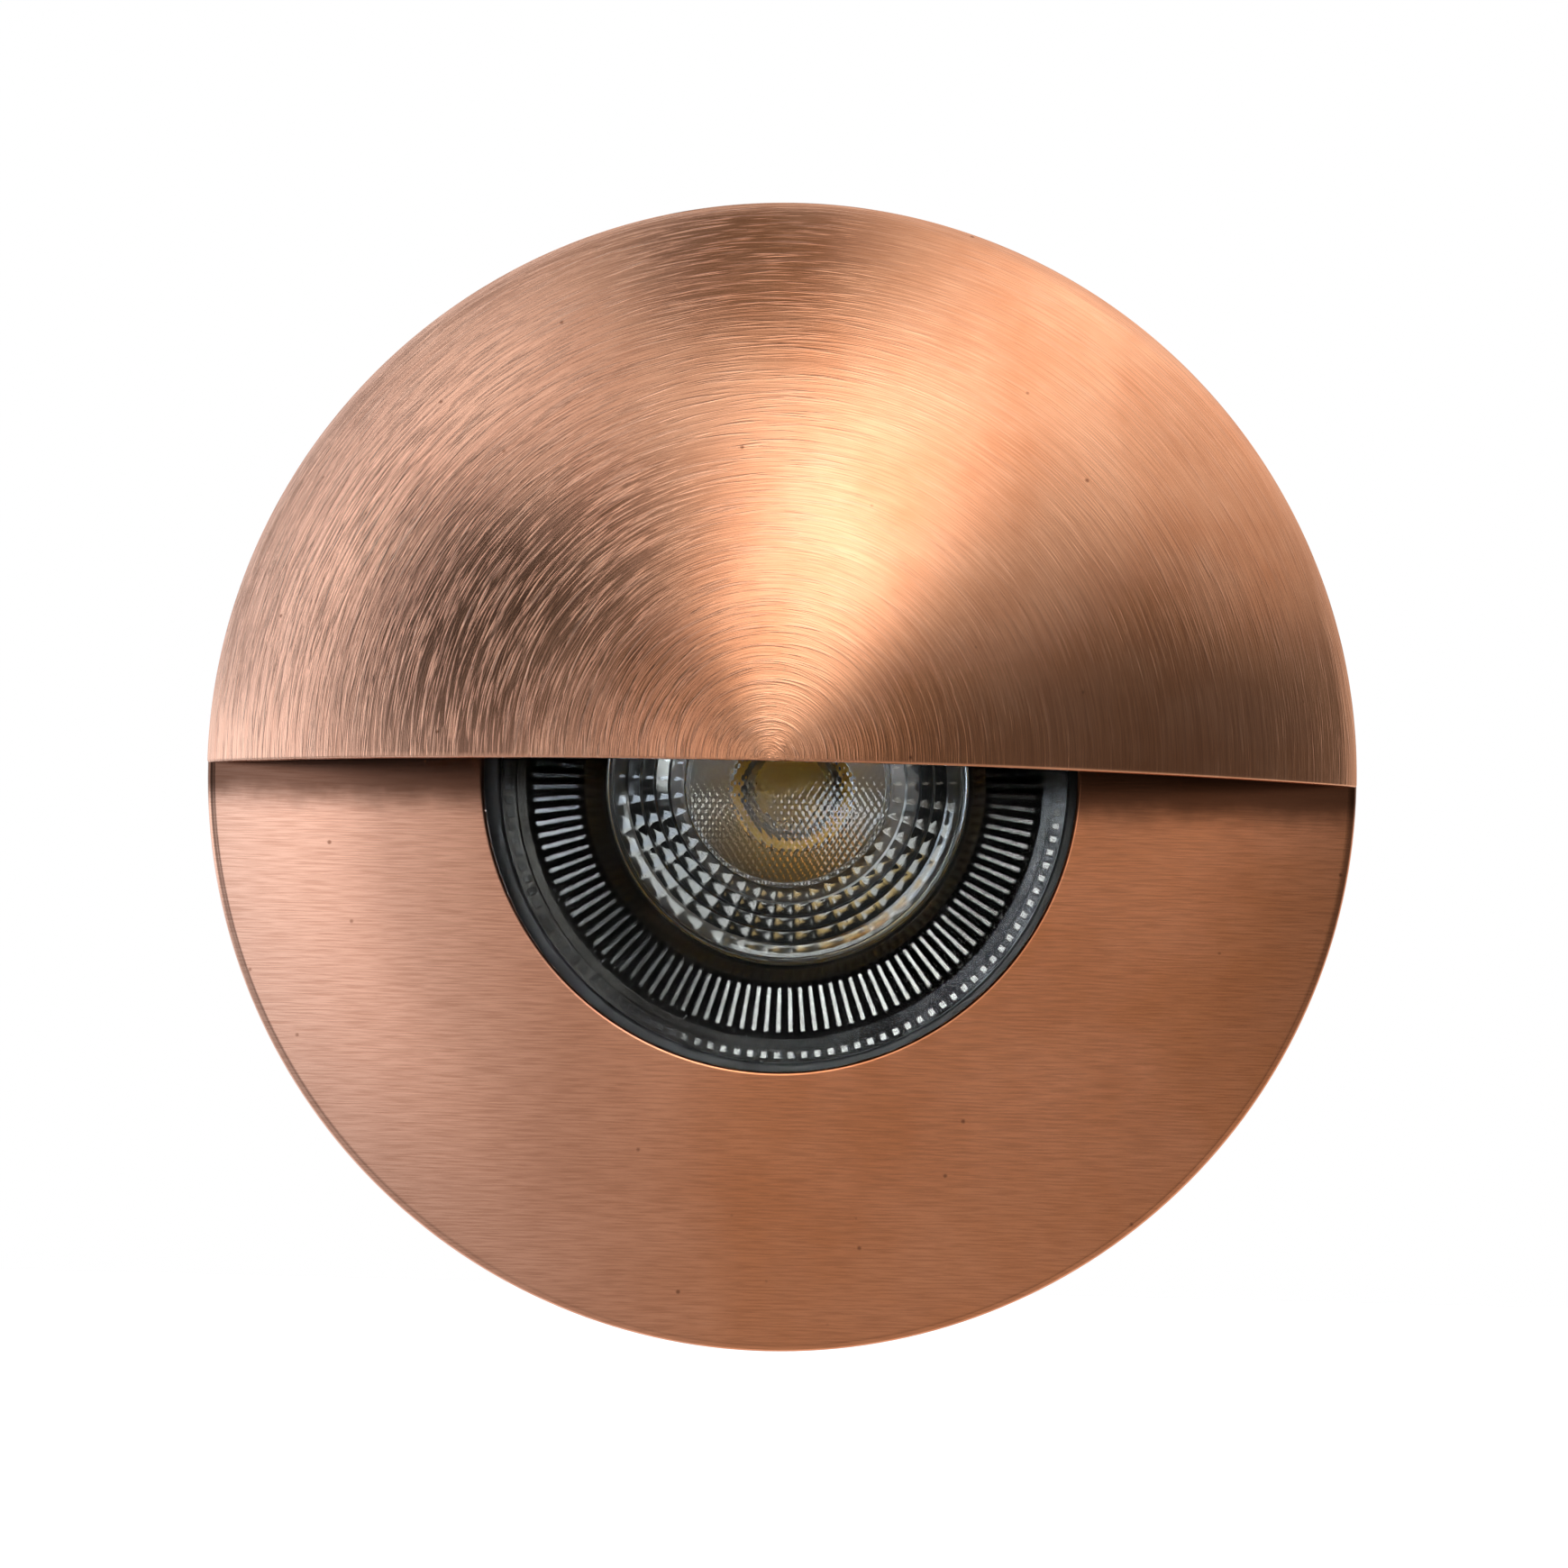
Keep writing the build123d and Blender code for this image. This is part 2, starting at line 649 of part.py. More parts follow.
def make_terminal_block():
    """A two-pole block fixed to the barrel's rear wall above the gland."""
    front = terminal_front()
    block = Pos(0, (front + BARREL_FLOOR) / 2, TERMINAL_Z) * Box(18.0, 11.0, 9.0)
    block = fillet(block.edges().filter_by(Axis.Y), 1.0)
    for x in (-LEAD_X, LEAD_X):
        block = block - rod(LEAD_R + 0.1, front - 1, front + 3.0, x, TERMINAL_Z)
        well = Pos(x, front + 4.0, TERMINAL_Z - 3.5) * Cylinder(1.9, 5.0)
        block = block - well
    return block - (Pos(0, front + 2.0, TERMINAL_Z + 3.0) * Box(1.2, 20.0, 6.0))


def make_terminal_screws():
    """The clamp screws in the terminal block's wells."""
    screws = []
    for x in (-LEAD_X, LEAD_X):
        screw = Pos(x, terminal_front() + 4.0, TERMINAL_Z - 2.6) * Cylinder(1.7, 3.0)
        slot = Pos(x, terminal_front() + 4.0, TERMINAL_Z - 4.1) * Box(0.6, 4.0, 1.4)
        screws.append((screw - slot).solid())
    return Compound(screws)


# ---- cable gland ---------------------------------------------------------------------------------------------
def make_gland_washer():
    """The flat seal between the gland and the barrel."""
    back = BARREL_END + GLAND_WASHER_THICK
    return rod(GLAND_WASHER_R, BARREL_END, back) - rod(GLAND_THREAD_R + FIT_GAP, 0, back + 1)


def gland_hexagon(near, far):
    """A hexagonal bar across the gland's flats."""
    return prism(RegularPolygon(GLAND_HEX / 2, 6, major_radius=False), near, far)


def make_gland_body():
    """A hexagon with a threaded spigot into the barrel and one for the dome nut."""
    hex_front = BARREL_END + GLAND_WASHER_THICK
    hex_back = hex_front + 4.0
    seat_depth = hex_front + 3.0
    inner = rod(GLAND_THREAD_R - 0.02, BARREL_FLOOR - 3.0, hex_front)
    outer = rod(GLAND_SPIGOT_R, hex_back, hex_back + 6.0)
    bore = rod(CABLE_R + 0.4, BARREL_FLOOR - 4.0, seat_depth)
    seat = rod(GLAND_SEAT_R, seat_depth, hex_back + 7.0)
    return gland_hexagon(hex_front, hex_back) + inner + outer - bore - seat


def make_gland_seal():
    """The soft ring that the nut squeezes onto the cable."""
    near = BARREL_END + GLAND_WASHER_THICK + 3.0
    return turned(
        (CABLE_R, near),
        (GLAND_SEAT_R - FIT_GAP, near),
        (GLAND_SEAT_R - FIT_GAP, near + 6.8),
        (GLAND_MOUTH_R, near + 8.2),
        (CABLE_R, near + 8.2),
    )


def make_gland_nut():
    """The dome nut, a hexagon with a domed end."""
    near = BARREL_END + GLAND_WASHER_THICK + 4.1
    far = near + 9.0
    corner_r = GLAND_HEX / 2 + 1.2
    dome = turned(
        (0, near),
        (corner_r, near),
        (corner_r, near + 5.0, 2.0),
        (GLAND_SEAT_R, far, 1.0),
        (0, far),
    )
    hollow = turned(
        (0, near - 1),
        (GLAND_SPIGOT_R + FIT_GAP, near - 1),
        (GLAND_SPIGOT_R + FIT_GAP, near + 6.0),
        (GLAND_MOUTH_R, near + 7.4),
        (GLAND_MOUTH_R, far + 1),
        (0, far + 1),
    )
    return (gland_hexagon(near, far) & dome) - hollow


# ---- write one STEP file for each piece ------------------------------------------------------------------------
PIECES = {
    "wall_sleeve": make_wall_sleeve(),
    "sleeve_cap": make_sleeve_cap(),
    "barrel_oring_front": make_barrel_oring(SEAL_DEPTHS[0]),
    "barrel_oring_rear": make_barrel_oring(SEAL_DEPTHS[1]),
    "barrel": make_barrel(),
    "lamp_bracket": make_lamp_bracket(),
    "bracket_standoffs": make_bracket_standoffs(),
    "bracket_screws": make_bracket_screws(),
    "lampholder": make_lampholder(),
    "lampholder_contacts": make_lampholder_contacts(),
    "lampholder_screws": make_lampholder_screws(),
    "lead_left": make_lead(-1),
    "lead_right": make_lead(1),
    "terminal_block": make_terminal_block(),
    "terminal_screws": make_terminal_screws(),
    "gland_washer": make_gland_washer(),
    "gland_body": make_gland_body(),
    "gland_seal": make_gland_seal(),
    "gland_nut": make_gland_nut(),
    "lamp_rim": make_lamp_rim(),
    "lamp_baffle": make_lamp_baffle(),
    "lamp_lens": make_lamp_lens(),
    "led_chip": make_led_chip(),
    "led_board": make_led_board(),
    "lamp_housing": make_lamp_housing(),
    "driver_board": make_driver_board(),
    "driver_parts": make_driver_parts(),
    "lamp_base": make_lamp_base(),
    "lamp_pins": make_lamp_pins(),
    "lens_glass": make_lens_glass(),
    "lens_gasket": make_lens_gasket(),
    "face_plate": make_face_plate(),
    "eyelid_hood": make_eyelid_hood(),
    "face_collar": make_face_collar(),
}

os.makedirs("parts", exist_ok=True)
for name, piece in PIECES.items():
    export_step(piece, f"parts/{name}.step")
    print(name, "solids", len(piece.solids()), "volume mm3", round(piece.volume, 1))
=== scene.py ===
# %% [markdown]
# # A recessed copper step light
# The object is a round step light: a brushed copper plate, half covered by a spun copper hood, over
# a small reflector lamp. Behind the plate, a brass barrel sits in a plastic sleeve in the wall. The
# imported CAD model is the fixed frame: each piece built here goes exactly where its CAD piece is, so
# nothing has to be fitted by eye. CAD pieces whose shape is right stay, and only get a better finish.

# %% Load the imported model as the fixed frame
import json
import math
import bmesh
import bpy
from mathutils import Matrix, Vector


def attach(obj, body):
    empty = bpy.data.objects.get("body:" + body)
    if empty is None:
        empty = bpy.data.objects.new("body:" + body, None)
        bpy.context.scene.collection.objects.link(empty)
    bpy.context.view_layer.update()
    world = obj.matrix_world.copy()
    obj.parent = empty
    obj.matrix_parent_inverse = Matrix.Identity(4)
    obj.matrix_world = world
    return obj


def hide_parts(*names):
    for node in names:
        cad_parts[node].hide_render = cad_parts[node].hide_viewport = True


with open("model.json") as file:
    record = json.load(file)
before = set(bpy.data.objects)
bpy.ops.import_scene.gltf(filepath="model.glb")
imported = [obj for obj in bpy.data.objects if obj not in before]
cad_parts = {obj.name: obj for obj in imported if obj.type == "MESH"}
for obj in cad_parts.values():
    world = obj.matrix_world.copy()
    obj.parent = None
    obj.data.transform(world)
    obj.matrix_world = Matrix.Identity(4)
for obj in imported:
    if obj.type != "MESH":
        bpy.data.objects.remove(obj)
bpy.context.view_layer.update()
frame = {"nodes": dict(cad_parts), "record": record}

mm = 0.001

# %% [markdown]
# ## Colours and nodes
# Colours are written as sRGB hex values, the way a maker reads them off a chart, and one function
# turns them to the linear values that shaders work in. A second small function adds a node, so that
# each material further down reads as a short list of its steps.

# %% Two helpers for materials
def linear(hex_colour):
    """An sRGB hex colour as linear red, green, blue and alpha."""
    channels = [int(hex_colour[i:i + 2], 16) / 255 for i in (1, 3, 5)]
    return [c / 12.92 if c <= 0.04045 else ((c + 0.055) / 1.055) ** 2.4 for c in channels] + [1.0]


def add(tree, kind, links=None, **settings):
    """Add a node, set its properties, and give its inputs values or other nodes' outputs."""
    node = tree.nodes.new(kind)
    for name, value in settings.items():
        setattr(node, name, value)
    for key, value in (links or {}).items():
        if isinstance(value, bpy.types.NodeSocket):
            tree.links.new(value, node.inputs[key])
        else:
            node.inputs[key].default_value = value
    return node


def start_material(name, metallic=0.0, roughness=0.5, **shader):
    """A named material with a Principled shader whose constant values are set on its sockets."""
    material = bpy.data.materials.new(name)
    material.use_nodes = True
    surface = material.node_tree.nodes["Principled BSDF"]
    surface.inputs["Metallic"].default_value = metallic
    surface.inputs["Roughness"].default_value = roughness
    for key, value in shader.items():
        surface.inputs[key.replace("_", " ")].default_value = value
    return material, material.node_tree, surface


print("copper in linear light:", [round(c, 3) for c in linear("#e7a47f")])

# %% [markdown]
# ## Brushed copper
# The hood was spun from sheet copper on a lathe and rubbed with an abrasive pad as it turned, so its
# scratches are arcs round the axis. The plate was brushed in straight level strokes. Scratches
# spread a reflection across them and not along them, so the shader is anisotropic, and it needs to
# know the brushing direction at each point. A UV map named Brushing says so: its U runs across the
# strokes and its V along them. A second map, Strokes, places the pattern itself, in metres. The left
# side is painted paler as a painted sheen, and its strokes stand out more there, with painted glints
# mixed into their colour. Scratches on brushed sheet are finer than a tenth of a millimetre. Here they
# are drawn coarser, 0.12 to 0.28 mm wide outside and up to 0.4 mm wide inside the hood, so that they
# show in a render of this size.

# %% A function for copper that follows the Brushing map
# the strokes, their relief and their painted glints grow stronger towards the left between these two
# places
STROKES_AND_GLINTS_FROM, STROKES_AND_GLINTS_TO = 8 * mm, -14 * mm
# the painted sheen grows paler towards the left between these two places along X
SHEEN_FROM, SHEEN_TO = -2 * mm, -44 * mm
TOOL_RIDGES = (0.9, 60, 0)


def brushed_copper(name, clean, dull, fine, strokes, crossing, stroke_share, depth_mm, ridge_share,
                   grain_share, roughness=0.17):
    """Copper with fine scratches, stray pad strokes, handling marks and small dark specks, with
    painted glints mixed into the strokes and a painted sheen on the left side.

    The fine scratches, strokes and crossing strokes are each (mm across, mm along, tilt in degrees).
    The shares say how strongly the strokes, the broad ridges of a spinning tool and the brown grain
    between fine scratches stand out; the strokes' share also sets their painted glints. The depth in
    millimetres is that of the whole relief.
    """
    material, tree, surface = start_material(
        name, metallic=1.0, roughness=roughness, Anisotropic=0.72)
    strokes_map = add(tree, "ShaderNodeUVMap", uv_map="Strokes").outputs["UV"]
    place = add(tree, "ShaderNodeTexCoord").outputs["Object"]
    tangent = add(tree, "ShaderNodeTangent", direction_type="UV_MAP", uv_map="Brushing")
    tree.links.new(tangent.outputs["Tangent"], surface.inputs["Tangent"])

    def scratches(across_mm, along_mm, tilt_deg, detail):
        stretch = (1 / (across_mm * mm), 1 / (along_mm * mm), 1)
        turned = add(tree, "ShaderNodeMapping", {
            "Vector": strokes_map, "Rotation": (0, 0, math.radians(tilt_deg))})
        mapped = add(tree, "ShaderNodeMapping", {"Vector": turned.outputs["Vector"], "Scale": stretch})
        return add(tree, "ShaderNodeTexNoise", {
            "Vector": mapped.outputs["Vector"], "Scale": 1.0, "Detail": detail, "Roughness": 0.6,
        }).outputs["Fac"]

    fine_marks = scratches(*fine, 2)
    marks = [add(tree, "ShaderNodeMapRange", {
        "Value": scratches(*size, 1), "From Min": 0.56, "From Max": 0.72}).outputs["Result"]
        for size in (strokes, crossing)]
    both = add(tree, "ShaderNodeMath", {0: marks[0], 1: marks[1]}, operation="MAXIMUM").outputs[0]
    across = add(tree, "ShaderNodeSeparateXYZ", {"Vector": place}).outputs["X"]
    share = add(tree, "ShaderNodeMapRange", {
        "Value": across, "From Min": STROKES_AND_GLINTS_FROM, "From Max": STROKES_AND_GLINTS_TO,
        "To Min": 0.35 * stroke_share, "To Max": stroke_share}).outputs["Result"]
    strokes_and_glints = add(tree, "ShaderNodeMath", {0: both, 1: share}, operation="MULTIPLY").outputs[0]
    # painted glints: a share of the strokes mixes near-white into the colour
    glint_share = add(tree, "ShaderNodeMath", {0: strokes_and_glints, 1: 0.15}, operation="MULTIPLY").outputs[0]
    scratch_height = add(tree, "ShaderNodeMath", {0: strokes_and_glints, 1: fine_marks}, operation="ADD").outputs[0]
    height = add(tree, "ShaderNodeMath", {
        0: scratches(*TOOL_RIDGES, 1), 1: ridge_share, 2: scratch_height}, operation="MULTIPLY_ADD")
    bump = add(tree, "ShaderNodeBump", {
        "Height": height.outputs[0], "Strength": 0.6, "Distance": depth_mm * mm})
    tree.links.new(bump.outputs["Normal"], surface.inputs["Normal"])

    handling = add(tree, "ShaderNodeTexNoise", {
        "Vector": place, "Scale": 1 / (14 * mm), "Detail": 4, "Roughness": 0.6}).outputs["Fac"]
    tone = add(tree, "ShaderNodeValToRGB", {"Fac": handling})
    tone.color_ramp.elements[0].position = 0.35
    tone.color_ramp.elements[0].color = linear(dull)
    tone.color_ramp.elements[1].position = 0.62
    tone.color_ramp.elements[1].color = linear(clean)
    # painted sheen: towards the left the colour is mixed towards pale pink, standing in for light
    # falling there
    painted_sheen = add(tree, "ShaderNodeMapRange", {
        "Value": across, "From Min": SHEEN_FROM, "From Max": SHEEN_TO, "To Min": 0.0, "To Max": 0.8})
    tone_and_sheen = add(tree, "ShaderNodeMix", {
        0: painted_sheen.outputs["Result"], 6: tone.outputs["Color"], 7: linear("#f6cdbc")}, data_type="RGBA")
    # painted glints on the strokes, mixed into the base colour
    with_painted_glints = add(tree, "ShaderNodeMix", {
        0: glint_share, 6: tone_and_sheen.outputs[2], 7: linear("#ffdcc8")}, data_type="RGBA")
    valleys = add(tree, "ShaderNodeMapRange", {
        "Value": fine_marks, "From Min": 0.6, "From Max": 0.35, "To Min": 0.0, "To Max": grain_share})
    grained = add(tree, "ShaderNodeMix", {
        0: valleys.outputs["Result"], 6: with_painted_glints.outputs[2], 7: linear("#9c5f42")}, data_type="RGBA")
    speck = add(tree, "ShaderNodeTexVoronoi", {"Vector": place, "Scale": 1 / (4.5 * mm)})
    speck_amount = add(tree, "ShaderNodeMapRange", {
        "Value": speck.outputs["Distance"], "From Min": 0.02, "From Max": 0.05,
        "To Min": 0.7, "To Max": 0.0})
    colour = add(tree, "ShaderNodeMix", {
        0: speck_amount.outputs["Result"], 6: grained.outputs[2], 7: linear("#7a4a33")},
        data_type="RGBA")
    tree.links.new(colour.outputs[2], surface.inputs["Base Color"])

    rubbed = add(tree, "ShaderNodeMath", {0: strokes_and_glints, 1: 0.06, 2: roughness}, operation="MULTIPLY_ADD")
    worn = add(tree, "ShaderNodeMath", {
        0: handling, 1: 0.05, 2: rubbed.outputs[0]}, operation="MULTIPLY_ADD")
    tree.links.new(worn.outputs[0], surface.inputs["Roughness"])
    return material


spun_copper = brushed_copper(
    "Spun copper", "#eaa982", "#d8926a", (0.12, 8, 0), (0.24, 8, 2), (0.28, 6, -3), 1.3, 0.034,
    1.5, 0.3)
plate_copper = brushed_copper(
    "Brushed copper sheet", "#e6996f", "#dc8d60", (0.13, 3.5, 0), (0.16, 10, 1), (0.2, 8, -2), 0.15,
    0.004, 0.0, 0.35, 0.13)
print("made", spun_copper.name, "and", plate_copper.name)

# %% [markdown]
# The hood is soldered to the plate. Under its level edge the plate is given painted shade: a dark
# band just under the edge, feathered by noise, standing in for the shadow under the hood.

# %% Paint shade on the plate under the hood's edge
SHADE_ENDS, SHADE_FULL, SHADE_RAGGED = -5 * mm, -2 * mm, -1.5 * mm


def paint_shade_under_hood(material):
    """Mix painted shade into a material's base colour where Z is only a little below the hood's edge.
    """
    tree = material.node_tree
    base = tree.nodes["Principled BSDF"].inputs["Base Color"]
    place = add(tree, "ShaderNodeTexCoord").outputs["Object"]
    feather = add(tree, "ShaderNodeTexNoise", {"Vector": place, "Scale": 1 / (2.5 * mm), "Detail": 3})
    up = add(tree, "ShaderNodeSeparateXYZ", {"Vector": place}).outputs["Z"]
    ragged = add(tree, "ShaderNodeMath", {
        0: feather.outputs["Fac"], 1: SHADE_RAGGED, 2: up}, operation="MULTIPLY_ADD")
    # painted shade: how strongly the dark band shows, full just under the hood's edge and fading below
    near = add(tree, "ShaderNodeMapRange", {
        "Value": ragged.outputs[0], "From Min": SHADE_ENDS, "From Max": SHADE_FULL, "To Min": 0.0,
        "To Max": 0.85}, interpolation_type="SMOOTHSTEP")
    # painted shade: dark brown mixed into the plate's colour under the hood's edge
    mixed = add(tree, "ShaderNodeMix", {
        0: near.outputs["Result"], 6: base.links[0].from_socket, 7: linear("#4a2c1e")},
        data_type="RGBA")
    tree.links.new(mixed.outputs[2], base)


paint_shade_under_hood(plate_copper)

# %% [markdown]
# ## Making pieces with bmesh
# Most of this light is round, so most pieces start as a profile in one plane that is spun about the
# light's axis. Spinning leaves razor-sharp rings; on real parts those edges are broken with a file or
# a mould radius, and the thin highlight on such an edge tells the eye that it is solid. So rings are
# picked by radius and depth, and bevelled.

# %% Helpers for turned pieces
def spun(corners, steps, closed=True):
    """Spin a profile of (radius, depth) corners in millimetres a full turn about the axis."""
    bm = bmesh.new()
    verts = [bm.verts.new((radius * mm, depth * mm, 0)) for radius, depth in corners]
    ends = verts[1:] + verts[:1] if closed else verts[1:]
    edges = [bm.edges.new(pair) for pair in zip(verts, ends)]
    bmesh.ops.spin(bm, geom=verts + edges, cent=(0, 0, 0), axis=(0, 1, 0), angle=2 * math.pi,
                   steps=steps, use_merge=True)
    bmesh.ops.remove_doubles(bm, verts=bm.verts, dist=1e-7)
    return bm


def radius_of(point):
    """Distance from the light's axis."""
    return math.hypot(point[0], point[2])


def ring(bm, radius, depth):
    """The edges that lie on one circle, given in millimetres."""
    def on_circle(vert):
        return abs(radius_of(vert.co) - radius * mm) < 1e-6 and abs(vert.co.y - depth * mm) < 1e-6
    return [edge for edge in bm.edges if all(on_circle(vert) for vert in edge.verts)]


def soften(bm, edges, size_mm, segments):
    """Round off edges."""
    bmesh.ops.bevel(bm, geom=edges, offset=size_mm * mm, affect="EDGES", segments=segments,
                    profile=0.5, material=-1)


def finish_piece(name, bm, body, material, nodes):
    """Turn a bmesh into an object that rides on a body and stands for CAD nodes."""
    bmesh.ops.recalc_face_normals(bm, faces=bm.faces)
    mesh = bpy.data.meshes.new(name)
    bm.to_mesh(mesh)
    bm.free()
    mesh.shade_smooth()
    mesh.set_sharp_from_angle(angle=math.radians(32))
    mesh.materials.append(material)
    piece = bpy.data.objects.new(name, mesh)
    bpy.context.scene.collection.objects.link(piece)
    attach(piece, body)
    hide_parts(*nodes)
    triangles = sum(len(p.vertices) - 2 for p in mesh.polygons)
    print(f"{name}: {triangles} triangles")
    return piece


# %% [markdown]
# ## The face plate
# The plate is 1.5 mm copper sheet, pressed into a shallow tray 92 mm across whose rim stands on the
# wall. The front is brushed level, and the rim round its edge. The brushing map is written per face:
# faces that look forward take straight strokes along X, and the rim takes strokes round the axis.

# %% Spin the plate and write its brushing map
PLATE_R, OPENING_R, PLATE_FRONT, SHEET, RIM_WALL = 46.0, 23.75, -4.0, 1.5, 1.2
CROWN_R, EDGE_FALL = 32.0, 0.4
# rings close to the opening keep its rounded edge from bending the light on the flat
PLATE_RINGS = (OPENING_R, 24.1, 24.5, CROWN_R, 34, 36, 38, 40, 42, 44, 45.3, PLATE_R)


def write_brushing(bm, across_and_along, length_scale=lambda place: 1.0):
    """Fill both UV maps from functions of a face and a corner's place."""
    brushing = bm.loops.layers.uv.new("Brushing")
    strokes = bm.loops.layers.uv.new("Strokes")
    for face in bm.faces:
        for loop in face.loops:
            across, along = across_and_along(face, loop.vert.co)
            loop[brushing].uv = across, along
            loop[strokes].uv = across, along * length_scale(loop.vert.co)


def sheet_strokes(face, place):
    """U runs across the strokes and V along them, level in front and round the axis on the rim."""
    if abs(face.normal.y) > 0.6:
        return place.z, place.x
    middle = face.calc_center_median()
    swing = math.atan2(middle.z, middle.x)
    offset = Matrix.Rotation(swing, 3, "Y") @ place
    return place.y, (swing + math.atan2(offset.z, offset.x)) * PLATE_R * mm


def plate_front_at(radius):
    """Depth of the plate's front, flat in the middle and curving away to its edge."""
    return PLATE_FRONT + EDGE_FALL * (max(0.0, radius - CROWN_R) / (PLATE_R - CROWN_R)) ** 2


plate_back = PLATE_FRONT + SHEET
front_corners = [(radius, plate_front_at(radius)) for radius in PLATE_RINGS]
back_corners = [(PLATE_R, 0), (PLATE_R - RIM_WALL, 0), (PLATE_R - RIM_WALL, plate_back),
                (OPENING_R, plate_back)]
plate_bm = spun(front_corners + back_corners, 256)
soften(plate_bm, ring(plate_bm, PLATE_R, PLATE_FRONT + EDGE_FALL), 0.5, 4)
soften(plate_bm, ring(plate_bm, OPENING_R, PLATE_FRONT), 0.25, 3)
soften(plate_bm, ring(plate_bm, PLATE_R, 0) + ring(plate_bm, OPENING_R, plate_back), 0.15, 2)
bmesh.ops.recalc_face_normals(plate_bm, faces=plate_bm.faces)
plate_bm.normal_update()
write_brushing(plate_bm, sheet_strokes)
finish_piece("face_plate_sheet", plate_bm, "face", plate_copper, ["face_plate"])

# %% [markdown]
# ## The eyelid hood
# The hood is a spun dome, sawn in half and soldered on by its rim. Its outside is part of a sphere.
# A sphere from a primitive would have its poles in the wrong place and no wall, so the dome is made
# as the lathe makes it: a vertex swings about the sphere's centre to draw the wall's section, and
# the section swings half a turn about the axis. Its foot then follows the plate's falling edge.

# %% Swing the hood's wall
HOOD_DEPTH, HOOD_WALL = 20.0, 1.2
SPHERE_R = (PLATE_R ** 2 + HOOD_DEPTH ** 2) / (2 * HOOD_DEPTH)
SPHERE_CENTRE = PLATE_FRONT - HOOD_DEPTH + SPHERE_R
WALL_STEPS, HALF_TURN_STEPS = 56, 180


def wall_arc(bm, radius, steps):
    """Draw one side of the wall's section, from the crown to the foot on the plate."""
    crown = bm.verts.new((0, (SPHERE_CENTRE - radius) * mm, 0))
    reach = math.acos((SPHERE_CENTRE - PLATE_FRONT) / radius)
    bmesh.ops.spin(bm, geom=[crown], cent=(0, SPHERE_CENTRE * mm, 0), axis=(0, 0, 1), angle=reach,
                   steps=steps)


hood_bm = bmesh.new()
wall_arc(hood_bm, SPHERE_R, WALL_STEPS)
wall_arc(hood_bm, SPHERE_R - HOOD_WALL, WALL_STEPS)
feet = [v for v in hood_bm.verts if abs(v.co.y - PLATE_FRONT * mm) < 1e-7]
hood_bm.edges.new(feet)
bmesh.ops.spin(hood_bm, geom=hood_bm.verts[:] + hood_bm.edges[:], cent=(0, 0, 0), axis=(0, 1, 0),
               angle=-math.pi, steps=HALF_TURN_STEPS)
bmesh.ops.remove_doubles(hood_bm, verts=hood_bm.verts, dist=1e-7)
for vert in hood_bm.verts:
    if abs(vert.co.y - PLATE_FRONT * mm) < 1e-7:
        vert.co.y = plate_front_at(radius_of(vert.co) / mm) * mm
mouth = [e for e in hood_bm.edges if e.is_boundary and all(abs(v.co.z) < 1e-7 for v in e.verts)
         and any(v.co.y < PLATE_FRONT * mm - 1e-6 for v in e.verts)]
bmesh.ops.bridge_loops(hood_bm, edges=mouth)
print("hood section: feet", [round(v.co.x / mm, 2) for v in feet], "mouth edges", len(mouth))

# %% [markdown]
# The sawn edge is filed smooth, and the thin bright line on it is the hood's most visible edge. It is
# picked by where it lies and by how sharply its faces meet. The pad ran round the turning dome, so the
# brushing map follows circles about the axis.

# %% Soften the sawn edge and write the hood's brushing map
bmesh.ops.recalc_face_normals(hood_bm, faces=hood_bm.faces)
hood_bm.normal_update()
rim = [e for e in hood_bm.edges if len(e.link_faces) == 2
       and all(abs(v.co.z) < 1e-7 for v in e.verts) and e.calc_face_angle() > math.radians(60)
       and any(v.co.y < PLATE_FRONT * mm - 1e-6 for v in e.verts)]
soften(hood_bm, rim, 0.18, 3)


def round_strokes(face, place):
    """U is the arc length out from the crown, V the way round the axis."""
    middle = face.calc_center_median()
    swing = math.atan2(middle.z, middle.x)
    if radius_of(place) > 1e-6:
        swing = math.atan2(place.z, place.x)
    tilt = math.atan2(radius_of(place), SPHERE_CENTRE * mm - place.y)
    return tilt * SPHERE_R * mm, swing * PLATE_R * mm


def circle_scale(place):
    """Keeps strokes as long on small circles near the crown as on large ones at the rim."""
    return max(radius_of(place) / (PLATE_R * mm), 0.12)


write_brushing(hood_bm, round_strokes, circle_scale)
hood = finish_piece("eyelid_hood_dome", hood_bm, "face", spun_copper,
                    ["eyelid_hood"])

# %% [markdown]
# Nobody polishes the inside of a hood, and here it is also painted dark brown as painted shade,
# standing in for the shade under the hood. The plate under its edge mirrors that as a soft dark line.

# %% Give the hood's inside its painted shade
# painted shade: the hood's inside takes dark brown copper, standing in for the shade under the hood
shaded_inside_copper = brushed_copper(
    "Copper with painted shade", "#5b3a2a", "#3a251c", (0.3, 20, 0), (0.4, 12, 3), (0.4, 9, -6), 0.1, 0.01,
    0.0, 0.0)
hood.data.materials.append(shaded_inside_copper)
for face in hood.data.polygons:
    from_centre = face.center - Vector((0, SPHERE_CENTRE * mm, 0))
    if from_centre.length < (SPHERE_R - HOOD_WALL * 0.8) * mm and face.normal.dot(from_centre) < 0:
        face.material_index = 1
print("inside faces:", sum(face.material_index for face in hood.data.polygons))

# %% [markdown]
# ## Black lamp plastic
# The lamp's cone is injection-moulded black polycarbonate. Its surface is smooth from a polished
# mould, so it is nearly black with small sharp glints, and dust and flow marks vary its gloss.

